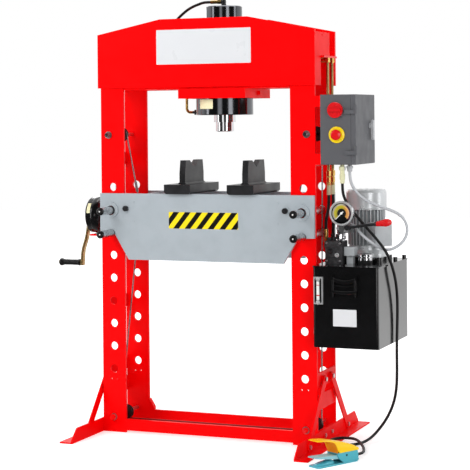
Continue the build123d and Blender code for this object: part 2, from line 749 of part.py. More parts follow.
black_gland = (606.0, -90.0)
grey_gland = (633.0, -72.0)
gland_shape = [
    (0, 1101), (8, 1101), (9.5, 1104), (9.5, 1116), (11.5, 1118), (11.5, 1140), (9.5, 1142),
    (9.5, 1156), (14, 1156), (14, 1172), (9, 1172), (9, box_low), (0, box_low),
]
short_shape = [
    (0, 1150), (9, 1150), (11, 1154), (11, 1164), (14, 1164), (14, 1174), (9, 1174), (9, box_low), (0, box_low),
]
add("cable_glands", turned(gland_shape, "z", *black_gland), turned(short_shape, "z", *grey_gland), aside=right_aside)

# Oil tank
tank = block(tank_left, tank_right, tank_front, tank_back, tank_low, tank_top - 6)
tank = fillet(tank.edges().filter_by(Axis.Z), 12)
tank -= block(
    tank_left + 3, tank_right - 3, tank_front + 3, tank_back - 3, tank_low + 3, tank_top,
)
for low, high in ((470, 540), (660, 740)):
    for y0 in (-half_depth, web_inner):
        tank += block(side_face, tank_left + 1, y0, y0 + web_thickness, low, high)
pivot_z = 716.0
pivot_xs = (592.0, 698.0)
bail_y = tank_front - 9.0
bail_radius = 3.5
for across in pivot_xs:
    tank += block(across - 8, across + 8, tank_front - 3, tank_front + 1, pivot_z - 14, pivot_z + 14)
    tank += block(across - 2.5, across + 2.5, tank_front - 16, tank_front - 2, pivot_z - 8, pivot_z + 8)
    tank -= rod("x", bail_radius + running_fit, across - 3, across + 3, bail_y, pivot_z)
tank_shell = tank
lid = block(tank_left - 3, tank_right + 3, tank_front - 3, tank_back + 3, tank_top - 6, tank_top)
lid = fillet(lid.edges().filter_by(Axis.Z), 14)
for across, depth in ((769, 130), (777, 240)):
    lid += rod("z", 9, tank_top - 1, tank_top + 15, across, depth)
lid += hexagon("z", 7, tank_top - 1, tank_top + 6, 638, -165)
cap_x, cap_y = 686.0, -36.0
lid += tube("z", 24, 18, tank_top - 1, tank_top + 14 - seat_gap, cap_x, cap_y)
cap_shape = [
    (18 - 0.5, tank_top + 2), (18 - 0.5, tank_top + 14), (24.5, tank_top + 14), (24.5, tank_top + 0.5),
    (29, tank_top + 0.5), (31, tank_top + 4), (31, tank_top + 40), (28, tank_top + 48), (0, tank_top + 48),
    (0, tank_top + 20), (12, tank_top + 20), (12, tank_top + 2),
]
add("filler_cap", turned(cap_shape, "z", cap_x, cap_y), aside=right_aside)
leg_left, leg_right = pivot_xs[0] + 8, pivot_xs[1] - 8
bail_path, bail_radii = tangent_path([
    (leg_left, bail_y, pivot_z), (leg_left, bail_y, pivot_z - 34), (leg_left + 10, bail_y, pivot_z - 66),
    (645, bail_y, pivot_z - 80), (leg_right - 10, bail_y, pivot_z - 66), (leg_right, bail_y, pivot_z - 34),
    (leg_right, bail_y, pivot_z),
])
bail = sweep(Plane(origin=(leg_left, bail_y, pivot_z), z_dir=(0, 0, -1)) * Circle(bail_radius), path=bail_path)
bail += rod("x", bail_radius, pivot_xs[0] - 6, leg_left, bail_y, pivot_z)
bail += rod("x", bail_radius, leg_right, pivot_xs[1] + 6, bail_y, pivot_z)
add("carry_handle", bail, aside=right_aside)
glass = block(512, 551, tank_front - 9, tank_front, 606, 719)
glass -= block(520, 543, tank_front - 10, tank_front - 5, 622, 703)
for height in (614, 711):
    glass += hexagon("y", 5, tank_front - 13, tank_front - 9, 531.5, height)
window = block(520.2, 542.8, tank_front - 8, tank_front - 5, 622.2, 702.8)
add("tank", tank_shell, glass, aside=right_aside)
add("sight_glass", window, aside=right_aside)

# Electric motor on the tank lid
motor_foot = tank_top + 22
flange_top = 830.0
shell_top = 985.0
fan_top = 1068.0
mount_block = block(motor_x - 90, motor_x + 90, motor_y - 90, motor_y + 90, tank_top, motor_foot)
mount_block = fillet(mount_block.edges().filter_by(Axis.Z), 16)
add("tank_lid", lid, mount_block, aside=right_aside)
fin_count = 30
core = rod("z", 72, motor_foot, shell_top, motor_x, motor_y)
core += turned(
    [(0, motor_foot), (88, motor_foot), (88, motor_foot + 14), (76, flange_top - 16), (76, flange_top), (0, flange_top)],
    "z", motor_x, motor_y,
)
fin = block(70, motor_radius, -1.4, 1.4, flange_top + 4, shell_top - 2)
fins = [Pos(motor_x, motor_y, 0) * Rot(0, 0, 360 / fin_count * turn) * fin for turn in range(fin_count)]
core += fins
core -= rod("z", 8 + running_fit, shell_top - 60, shell_top + 1, motor_x, motor_y)
add("motor_body", core, aside=right_aside)
fan_shape = [
    (86, shell_top), (86, fan_top - 10), (80, fan_top), (0, fan_top), (0, fan_top - 2),
    (79, fan_top - 2), (84, fan_top - 11), (84, shell_top + 3), (66, shell_top + 3), (66, shell_top),
]
fan = turned(fan_shape, "z", motor_x, motor_y)
vents = [
    Pos(motor_x, motor_y, 0) * Rot(0, 0, 30 * turn + 15) * block(30, 66, -4, 4, fan_top - 5, fan_top + 1)
    for turn in range(12)
]
fan -= vents
add("fan_cover", fan, aside=right_aside)
rotor = rod("z", 8, shell_top - 55, shell_top + 50, motor_x, motor_y)
rotor += rod("z", 24, shell_top + 12, shell_top + 50, motor_x, motor_y)
for turn in range(6):
    blade = block(20, 72, -1.5, 1.5, shell_top + 14, shell_top + 48)
    rotor += Pos(motor_x, motor_y, 0) * Rot(0, 0, 60 * turn) * blade
add("motor_rotor", rotor, aside=right_aside)
terminal = block(70, 136, -38, 38, 838, 934)
terminal = fillet(terminal.edges().filter_by(Axis.X), 6)
terminal += block(112, 138, -41, 41, 835, 937)
terminal = Pos(motor_x, motor_y, 0) * Rot(0, 0, -42) * terminal
terminal -= rod("z", motor_radius, 800, shell_top, motor_x, motor_y)
terminal -= core
add("terminal_box", terminal, aside=right_aside)

# Valve block with lever and gauge
valve_right = 600.0
valve_top = 858.0
valve = block(525, valve_right, -86, -6, tank_top, valve_top)
valve = chamfer(valve.edges().filter_by(Axis.Z), 2)
valve += block(valve_right - 1, 649, -70, -22, 797, 834)
valve += block(612, 640, -60, -32, tank_top, 798)
lever_y = -88.0
pivot_x, lever_pivot_z = 626.0, 916.0
stem_x, stem_y = 596.0, -60.0
valve += rod("z", 9, valve_top - 1, 880, stem_x, stem_y)
valve += hexagon("z", 13, 880, 894, stem_x, stem_y)
valve += block(584, 640, -72, -46, 893, 926)
valve += block(590, 612, -96, -71, 897, 922)
for across in (538, 560):
    valve += hexagon("z", 8, valve_top - 1, valve_top + 14, across, -62)
valve -= rod("y", 5 + running_fit, -73, -50, pivot_x, lever_pivot_z)
switch_place = (574.0, -24.0)
valve += hexagon("z", 13, valve_top - 1, valve_top + 5, *switch_place)
valve += rod("z", 9, valve_top + 4, valve_top + 8, *switch_place)
fitting_a = rod("x", 8, 512, 525, -30, 835)
fitting_a += hexagon("x", 11, 516, 525, -30, 835)
fitting_a += rod("z", 8, 827, 856, 512, -30)
fitting_a += rod("z", 9, 849, 905, 512, -30)
fitting_a += hexagon("z", 11, 849, 864, 512, -30)
fitting_b = rod("z", 9, valve_top - 1, 886, 540, -20)
fitting_b += hexagon("z", 11.5, valve_top, valve_top + 14, 540, -20)
valve_solid = valve + fitting_a + fitting_b
add("valve_block", valve_solid, aside=right_aside)

hose_x = pipe_x - right_aside
hose_a = [
    (hose_x, pipe_rows[0], hose_high), (hose_x, pipe_rows[0], hose_high - 32), (511, 2, 978), (512, -26, 948), (512, -30, 926),
    (512, -30, 905),
]
hose_b = [
    (hose_x, pipe_rows[1], hose_high), (hose_x, pipe_rows[1], hose_high - 35), (513, 58, 968), (526, 24, 938), (538, -8, 924),
    (540, -20, 906), (540, -20, 886),
]
valve_hose_a, length_a, radii_a = cord(hose_a, 13)
valve_hose_b, length_b, radii_b = cord(hose_b, 13)
add("valve_hoses", valve_hose_a, valve_hose_b, aside=right_aside)

lever = rod("y", 5, lever_y - 9, -54, pivot_x, lever_pivot_z)
lever += rod("y", 11, lever_y - 8, -72 - seat_gap, pivot_x, lever_pivot_z)
lever_tilt = math.degrees(math.atan2(19, 132))
stick = rod("x", 6, 0, 134, 0, 0)
stick = Pos(pivot_x, lever_y, lever_pivot_z) * Rot(0, -lever_tilt, 0) * stick
lever += stick
knob_shape = [
    (0, 118), (8, 118), (9, 122), (13, 150), (16, 166), (15, 180), (9, 191), (0, 194),
]
knob = Pos(pivot_x, lever_y, lever_pivot_z) * Rot(0, 90 - lever_tilt, 0) * revolve(
    Plane.XZ * outline(knob_shape), Axis.Z
)
lever -= knob
add("valve_lever", lever, knob, aside=right_aside)

gauge_x, gauge_z = 605.0, 977.0
gauge_front = -108.0
gauge_shape = [
    (0, gauge_front + 6), (44, gauge_front + 6), (46, gauge_front), (50, gauge_front), (52, gauge_front + 3),
    (52, gauge_front + 12), (49, gauge_front + 14), (49, gauge_front + 30), (45, gauge_front + 33), (0, gauge_front + 33),
]
gauge = turned(gauge_shape, "y", gauge_x, gauge_z)
gauge += block(593, 609, -94, -78, 922, 940)
gauge -= rod("y", 3 + running_fit, gauge_front, gauge_front + 16, gauge_x, gauge_z)
add("gauge_case", gauge, aside=right_aside)
needle = rod("y", 3, gauge_front + 1.5, gauge_front + 14, gauge_x, gauge_z)
needle += rod("y", 5, gauge_front + 1.5, gauge_front + 4.5, gauge_x, gauge_z)
needle_face = outline([(-10, -2.2), (36, -0.8), (36, 0.8), (-10, 2.2)])
needle_plane = Plane(origin=(gauge_x, gauge_front + 4, gauge_z), x_dir=(-0.7071, 0, -0.7071), z_dir=(0, -1, 0))
needle += extrude(needle_plane * needle_face, 1.5)
add("gauge_needle", needle, aside=right_aside)

# Foot pedal on the floor
pedal_turn = 61.6
pedal_width = 92.0
pedal_length = 208.0
pedal_near = (601.5, -481.0)
ahead_x, ahead_y = math.cos(math.radians(pedal_turn)), math.sin(math.radians(pedal_turn))


def pedal_place(solid):
    """From the pedal's own length and width to its place on the floor."""
    return Pos(pedal_near[0], pedal_near[1], 0) * Rot(0, 0, pedal_turn) * solid


pedal_half = pedal_width / 2
pedal_base = block(0, pedal_length, -pedal_half, pedal_half, 0, 22)
pedal_base = fillet(pedal_base.edges().filter_by(Axis.Z), 8)
pedal_base += block(152, pedal_length - 8, 8 - pedal_half, pedal_half - 8, 21, 36)
pedal_base += rod("y", 5, 8 - pedal_half, pedal_half - 8, 140, 33)
pedal_base += block(132, 153, 8 - pedal_half, 14 - pedal_half, 21, 38)
pedal_base += block(132, 153, pedal_half - 14, pedal_half - 8, 21, 38)
pedal_base += rod("x", 8, pedal_length - 4, pedal_length + 12, 0, 14)
add("pedal_base", pedal_place(pedal_base), aside=right_aside)
tread = plate_y([(14, 50), (120, 34), (140, 38), (140, 42), (120, 40), (15, 56)], 16 - pedal_half, pedal_half - 16)
tread += rod("y", 9, 16 - pedal_half, pedal_half - 16, 140, 33)
tread -= rod("y", 5 + running_fit, -pedal_half, pedal_half, 140, 33)
add("pedal_tread", pedal_place(tread), aside=right_aside)
hood_outer = [
    (-14, 90), (-8, 102), (10, 108), (60, 104), (130, 84), (190, 58), (pedal_length + 2, 40), (pedal_length + 2, 22),
    (20, 22), (2, 60),
]
hood = plate_y(hood_outer, -pedal_half - 3, pedal_half + 3)
hood_inner = [
    (-30, 84), (-20, 99), (10, 104), (60, 100), (130, 80), (188, 55), (pedal_length - 2, 38), (pedal_length - 2, 0),
    (-30, 0),
]
hood -= plate_y(hood_inner, -pedal_half, pedal_half)
add("pedal_hood", pedal_place(hood), aside=right_aside)

# Free cables
rear_x = pedal_near[0] + (pedal_length + 12) * ahead_x
rear_y = pedal_near[1] + (pedal_length + 12) * ahead_y
black_route = [
    (*black_gland, 1101), (*black_gland, 1070), (609, -76, 1040), (621, -59, 1008), (643, -52, 977), (668, -53, 949),
    (700, -58, 915), (738, -61, 876), (771, -62, 837), (793, -55, 798), (803, -34, 752), (805, 2, 700), (803, 34, 636),
    (800, 48, 560), (798, 46, 478), (798, 38, 394), (800, 33, 314), (797, 36, 244), (784, 50, 186), (762, 66, 134),
    (736, 72, 88), (710, 56, 50), (690, 20, 24), (670, -26, 11), (640, -68, 7), (602, -94, 9), (566, -98, 13),
    (539, -82, 14), (528, -54, 14), (534, -24, 15), (556, -4, 17), (590, 0, 19), (628, -20, 22), (662, -62, 21),
    (690, -108, 14), (710, -154, 9), (722, -204, 10),
    (rear_x + 42 * ahead_x, rear_y + 42 * ahead_y, 14), (rear_x, rear_y, 14),
]
grey_route = [
    (*grey_gland, 1150), (*grey_gland, 1122), (640, -60, 1088), (660, -45, 1054), (694, -36, 1027), (738, -32, 1008),
    (784, -30, 993), (826, -28, 977), (856, -28, 950), (869, -29, 913), (862, -32, 876), (838, -36, 846),
    (802, -39, 825), (767, -42, 824), (734, -66, 847), (699, -72, 873), (664, -50, 899), (634, -36, 927),
    (608, -29, 931), (588, -25, 921), (576, -24.2, 902), (*switch_place, 884), (*switch_place, valve_top + 8),
]
black_cord, black_length, black_radii = cord(black_route, cord_diameter)
grey_cord, grey_length, grey_radii = cord(grey_route, cord_diameter)
add("pedal_cable", black_cord, aside=right_aside)
add("switch_cable", grey_cord, aside=right_aside)

# Shift to the middle of the footprint, then write
cords = ("pedal_cable", "switch_cable")
rigid = Compound([part for name, parts in nodes.items() if name not in cords for part in parts])
extent = rigid.bounding_box()
shift_x = (extent.min.X + extent.max.X) / 2
shift_y = (extent.min.Y + extent.max.Y) / 2

os.makedirs("parts", exist_ok=True)
for name, parts in nodes.items():
    placed = [part.translate((-shift_x, -shift_y, 0), transform=True) for part in parts]
    node = placed[0] if len(placed) == 1 else Compound(placed)
    node.label = name
    export_step(node, "parts/" + name + ".step")

section_area = math.pi * (cord_diameter / 2) ** 2
for name, solid, length, radii in (
    ("pedal_cable", black_cord, black_length, black_radii),
    ("switch_cable", grey_cord, grey_length, grey_radii),
):
    print(name, "volume ratio", round(solid.volume / (section_area * length), 4))
    print("  radii", [round(radius) for radius in radii])
print("shift", round(shift_x, 3), round(shift_y, 3), "nodes", len(nodes))
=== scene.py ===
"""Finishes, flexible cables and trim of a floor-standing hydraulic workshop press."""
from __future__ import annotations

import json
import logging
import math
from collections.abc import Sequence
from dataclasses import dataclass, field
from enum import Enum
from typing import Any

import bmesh
import bpy
import numpy as np
from mathutils import Matrix, Vector

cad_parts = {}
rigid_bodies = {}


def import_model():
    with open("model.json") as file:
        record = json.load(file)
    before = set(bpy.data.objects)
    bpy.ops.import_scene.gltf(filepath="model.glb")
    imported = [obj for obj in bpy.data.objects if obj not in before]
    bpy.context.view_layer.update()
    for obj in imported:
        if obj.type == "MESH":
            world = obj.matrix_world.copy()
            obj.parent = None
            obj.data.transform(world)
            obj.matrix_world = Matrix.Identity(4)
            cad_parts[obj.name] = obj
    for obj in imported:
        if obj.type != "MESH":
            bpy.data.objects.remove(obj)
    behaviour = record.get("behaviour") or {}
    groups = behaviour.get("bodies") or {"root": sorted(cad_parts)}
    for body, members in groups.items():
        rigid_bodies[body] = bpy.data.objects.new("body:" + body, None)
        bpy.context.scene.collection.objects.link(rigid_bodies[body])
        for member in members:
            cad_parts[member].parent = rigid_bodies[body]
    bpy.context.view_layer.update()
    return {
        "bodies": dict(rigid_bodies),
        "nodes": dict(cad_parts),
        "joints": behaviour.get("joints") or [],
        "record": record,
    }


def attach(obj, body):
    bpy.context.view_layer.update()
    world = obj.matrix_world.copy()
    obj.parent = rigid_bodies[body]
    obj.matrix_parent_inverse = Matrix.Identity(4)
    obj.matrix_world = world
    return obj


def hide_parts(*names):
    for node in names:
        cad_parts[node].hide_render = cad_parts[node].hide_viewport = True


log = logging.getLogger("press")

Point = tuple[float, float, float]
Profile = Sequence[tuple[float, float]]
Material = bpy.types.Material
Piece = bpy.types.Object

# Middle of the footprint, in the millimetres of the press drawing.
DRAWING_MIDDLE = (29.0105, -45.8103)
# Edges that bend by more degrees than this stay sharp in the shading.
SHARP_EDGE = 38.0
# Points of a closed piece that lie this near to each other become one, in metres.
MERGE_DISTANCE = 1e-7


def place(x: float, y: float, z: float) -> Vector:
    """Turns a drawing position in millimetres into scene metres.

    Args:
        x: Distance to the right of the frame's middle.
        y: Distance behind the frame's mid-depth.
        z: Height above the floor.

    Returns:
        The position in metres.
    """
    return Vector(((x - DRAWING_MIDDLE[0]) / 1000, (y - DRAWING_MIDDLE[1]) / 1000, z / 1000))


def placed(points: np.ndarray) -> np.ndarray:
    """Turns an array of drawing positions in millimetres into scene metres."""
    return (points - np.array([*DRAWING_MIDDLE, 0.0])) / 1000


def linear(hex_code: str) -> tuple[float, float, float, float]:
    """Turns an sRGB hex colour into linear values.

    Args:
        hex_code: Six hex digits, such as "C0102A".

    Returns:
        Red, green, blue and an alpha of one.
    """
    values = [int(hex_code[i : i + 2], 16) / 255 for i in (0, 2, 4)]
    red, green, blue = (v / 12.92 if v <= 0.04045 else ((v + 0.055) / 1.055) ** 2.4 for v in values)
    return red, green, blue, 1.0


def per_metre(size_mm: float) -> float:
    """Noise scale whose blobs are about the given size in millimetres."""
    return 1000.0 / size_mm


def add_node(
    tree: bpy.types.NodeTree, kind: str, inputs: dict[Any, Any] | None = None, **settings: Any
) -> bpy.types.Node:
    """Adds one shader node with its settings and links.

    Args:
        tree: Node tree that gets the node.
        kind: Blender's type name of the node.
        inputs: Socket name or number to a value or to an output socket.
        **settings: Properties of the node.

    Returns:
        The new node.
    """
    node = tree.nodes.new(kind)
    for name, value in settings.items():
        setattr(node, name, value)
    for key, value in (inputs or {}).items():
        if isinstance(value, bpy.types.NodeSocket):
            tree.links.new(value, node.inputs[key])
        else:
            node.inputs[key].default_value = value
    return node


@dataclass(frozen=True)
class Finish:
    """A surface as it is made: its colour, its shine and its fine texture.

    colour: sRGB hex of the clean surface.
    shade: sRGB hex of its darker or worn patches.
    roughness: Mean roughness.
    metallic: One for bare metal.
    grain_mm: Size of the fine texture.
    bump_mm: Height of the fine texture.
    patch_mm: Size of the colour patches.
    patch: Share of the shade colour in the patches.
    coat: Weight of a clear top layer.
    specular: Level of its mirror reflection.
    """

    name: str
    colour: str
    shade: str
    roughness: float
    metallic: float = 0.0
    grain_mm: float = 1.5
    bump_mm: float = 0.02
    patch_mm: float = 60.0
    patch: float = 0.15
    coat: float = 0.0
    specular: float = 0.5


@dataclass(frozen=True)
class Region:
    """A box in drawing millimetres where a node shows another finish."""

    low: Point
    high: Point
    finish: Finish


# A side of a region that lies this far out, in millimetres, is open. In metres it counts as open a
# little sooner, because the drawing's middle isn't the scene's.
BIG = 9999.0
OPEN_METRES = BIG / 1100
ALL_LOW = (-BIG, -BIG, -BIG)
ALL_HIGH = (BIG, BIG, BIG)

# Enamel sprayed and stoved on steel plate: an even, saturated red with a slight orange peel.
RED_ENAMEL = Finish(
    "red_stoving_enamel", "FC0104", "E20105", 0.34,
    grain_mm=2.2, bump_mm=0.012, patch=0.12, coat=0.04, specular=0.06)
# Machine enamel on the bed's plates: satin, and faintly mottled from handling.
GREY_ENAMEL = Finish(
    "grey_machine_enamel", "A9B2B8", "99A2A8", 0.38,
    grain_mm=2.0, bump_mm=0.012, patch=0.2)
# Gloss enamel sprayed on the tank and the winch cover: deep black with sharp highlights.
BLACK_ENAMEL = Finish(
    "black_gloss_enamel", "0B0B0C", "18181A", 0.16,
    grain_mm=2.5, bump_mm=0.015, coat=0.5)
# Steel blackened in a hot oxide bath: dry, slightly rough, and uneven from black to dark grey.
BLACK_OXIDE = Finish("black_oxide_steel", "1E1E20", "2E2E31", 0.4, grain_mm=0.9, bump_mm=0.05, patch=0.4)
# Powder coat baked on the switch box: satin graphite with a fine leather texture.
BOX_POWDER = Finish(
    "graphite_powder_coat", "5A5B5F", "515256", 0.5,
    grain_mm=1.6, bump_mm=0.012, patch=0.1)
# Steel with bright zinc plate: pale metal with soft cloudy patches.
ZINC = Finish(
    "bright_zinc_plate", "E2E3E4", "C2C3C6", 0.32, 1.0,
    grain_mm=1.2, bump_mm=0.01, patch_mm=18, patch=0.5)
# Steel with yellow chromate over zinc: straw-coloured metal that drifts towards olive.
YELLOW_ZINC = Finish(
    "yellow_chromate_zinc", "BFA673", "A08A50", 0.34, 1.0,
    grain_mm=1.4, bump_mm=0.01, patch_mm=22, patch=0.6)
# Turned brass of the unions: warm metal with darker patches where it was handled.
BRASS = Finish(
    "turned_brass", "D8B46A", "B58F48", 0.26, 1.0,
    grain_mm=0.8, bump_mm=0.01, patch_mm=14, patch=0.4)
# Hard chrome, plated and polished: a mirror that shows the room in bright and dark bands.
CHROME = Finish("hard_chrome", "E2E2E4", "C4C4C8", 0.09, 1.0, grain_mm=0.6, bump_mm=0.002, patch=0.2)
# Bar steel ground round: bright satin metal with faint patches.
GROUND_STEEL = Finish(
    "ground_steel", "D2D3D4", "A6A8AA", 0.26, 1.0,
    grain_mm=0.5, bump_mm=0.01, patch_mm=30, patch=0.4)
# Cylinder steel, polished and blackened: a dark mirror with narrow bright streaks.
DARK_CHROME = Finish(
    "blackened_cylinder_steel", "66676B", "56575B", 0.13, 1.0,
    grain_mm=0.8, bump_mm=0.005, patch=0.3)
# Aluminium lacquer sprayed on the motor: pale grey with a soft metallic sheen.
SILVER_PAINT = Finish(
    "aluminium_lacquer", "D6D9DB", "C2C6C8", 0.3, 0.5,
    grain_mm=1.4, bump_mm=0.03, patch=0.25, specular=0.2)
# Machine lacquer on the terminal box and the block beside the valve: satin and nearly plain.
GREY_PAINT = Finish("motor_grey_lacquer", "B4B8BB", "A0A4A7", 0.45, 0.1, grain_mm=1.2, bump_mm=0.03)
# Sand-cast iron of the valve: a rough dark skin with paler rubbed patches.
CAST_VALVE = Finish(
    "sand_cast_valve_iron", "3A3A3C", "565658", 0.55, 0.4,
    grain_mm=2.0, bump_mm=0.12, patch_mm=12, patch=0.5)
# Moulded ABS: satin black with a fine grain from its mould.
BLACK_ABS = Finish("black_moulded_abs", "101011", "1B1B1D", 0.38, grain_mm=0.7, bump_mm=0.02)
# Moulded ABS of buttons and knob: glossy and evenly red.
RED_ABS = Finish("red_moulded_abs", "D80D16", "B80810", 0.25, grain_mm=1.0, bump_mm=0.01, coat=0.3)
# Moulded ABS of the stop button's collar: glossy and evenly yellow.
YELLOW_ABS = Finish("yellow_moulded_abs", "F7D40B", "E2BC06", 0.28, grain_mm=1.0, bump_mm=0.01, coat=0.2)
# Moulded natural nylon: cream and slightly waxy.
CREAM_NYLON = Finish("cream_nylon", "D9D8B0", "C7C59A", 0.4, grain_mm=0.9, bump_mm=0.02)
# Moulded nylon of gland and door handle: satin grey.
GREY_NYLON = Finish("grey_nylon", "B9BBBE", "A6A8AB", 0.42, grain_mm=0.9, bump_mm=0.02)
# Extruded rubber of hoses, cable and seal: matt black with a fine drawn grain.
BLACK_RUBBER = Finish("black_hose_rubber", "131314", "232324", 0.5, grain_mm=0.8, bump_mm=0.04)
# Extruded PVC of the valve's cable: smooth grey with a soft shine.
GREY_PVC = Finish("grey_pvc_sheath", "B7BABE", "A3A6AA", 0.42, grain_mm=0.8, bump_mm=0.02)
# Moulded ABS of the foot switch's guard: evenly amber with a soft gloss.
AMBER_ABS = Finish(
    "amber_moulded_guard", "FFCE12", "FFBE08", 0.3,
    grain_mm=1.0, bump_mm=0.02, coat=0.05, specular=0.3)
# Painted shade and painted reflection: the guard's front wall is orange for its own shade and the frame's red
# on it.
GUARD_WALL_PAINTED_SHADE = Finish("guard_wall_painted_shade", "FF9306", "F87E08", 0.4, grain_mm=1.0, bump_mm=0.02, specular=0.2)
# Cast aluminium painted teal: smooth paint over a slightly uneven skin.
TEAL_CAST = Finish(
    "teal_painted_casting", "52B4C4", "3F9FB0", 0.3,
    grain_mm=1.6, bump_mm=0.04, specular=0.45)
# The tread's teal paint: paler than the base, and dull in patches.
PALE_TEAL = Finish(
    "pale_teal_tread", "8FC9D4", "74B4C1", 0.42,
    grain_mm=1.6, bump_mm=0.05, patch=0.4, specular=0.3)
# Aluminium, blasted and anodised: pale satin metal with faint patches.
SATIN_ALUMINIUM = Finish(
    "satin_aluminium", "DADCDD", "BFC1C3", 0.38, 0.55,
    grain_mm=0.9, bump_mm=0.01, patch_mm=20, patch=0.4)
# Drawn acrylic tube: pale and glossy with faint streaks.
CLEAR_TUBE = Finish(
    "clear_sight_tube", "EEF0EC", "D9DEDA", 0.14,
    grain_mm=2.0, bump_mm=0.004, patch_mm=9, patch=0.3, coat=0.6)
# Moulded handle of the tank: black with a near mirror gloss.
GLOSS_GRIP = Finish("black_gloss_grip", "0C0C0D", "151516", 0.12, grain_mm=3.0, bump_mm=0.03, coat=0.6)
# Painted shade: a dull grey that stands for the shade between the motor's fins, darker than their crests.
VALLEY_PAINTED_SHADE = Finish("painted_shade_of_fin_valleys", "787C7F", "606467", 0.6, grain_mm=2.0, bump_mm=0.05, patch=0.4)
# Painted shade and painted reflection: the rope's run along the base is dark red, as it lies in shade between
# the red beams.
ROPE_PAINTED_SHADE = Finish(
    "rope_painted_red_shade", "8C1410", "6E100E", 0.5,
    grain_mm=1.6, bump_mm=0.2, specular=0.1)
# Galvanised steel rope: grey metal broken up by its strands.
STEEL_ROPE = Finish(
    "galvanised_rope", "B9B9BA", "77777A", 0.4, 1.0,
    grain_mm=1.6, bump_mm=0.2, patch_mm=5, patch=0.6)
# Label film of crown and tank with nothing printed on it: smooth satin white.
WHITE_FILM = Finish("white_label_film", "DADCDF", "D2D4D8", 0.32, grain_mm=2.0, bump_mm=0.004, patch=0.1)
# Label film of cylinder and winch with nothing printed on it: smooth satin cream.
CREAM_FILM = Finish("cream_label_film", "EEE9BE", "E6E0AE", 0.34, grain_mm=2.0, bump_mm=0.004, patch=0.1)
# Screen print behind the sight glass: flat, even black.
DIAL_BLACK = Finish("black_dial_print", "0E0E0F", "151516", 0.5, grain_mm=2.0, bump_mm=0.002)
# Lacquer sprayed on the needle and the pins' centres: smooth satin white.
WHITE_LACQUER = Finish("white_lacquer", "F4F4F2", "E8E8E6", 0.35)


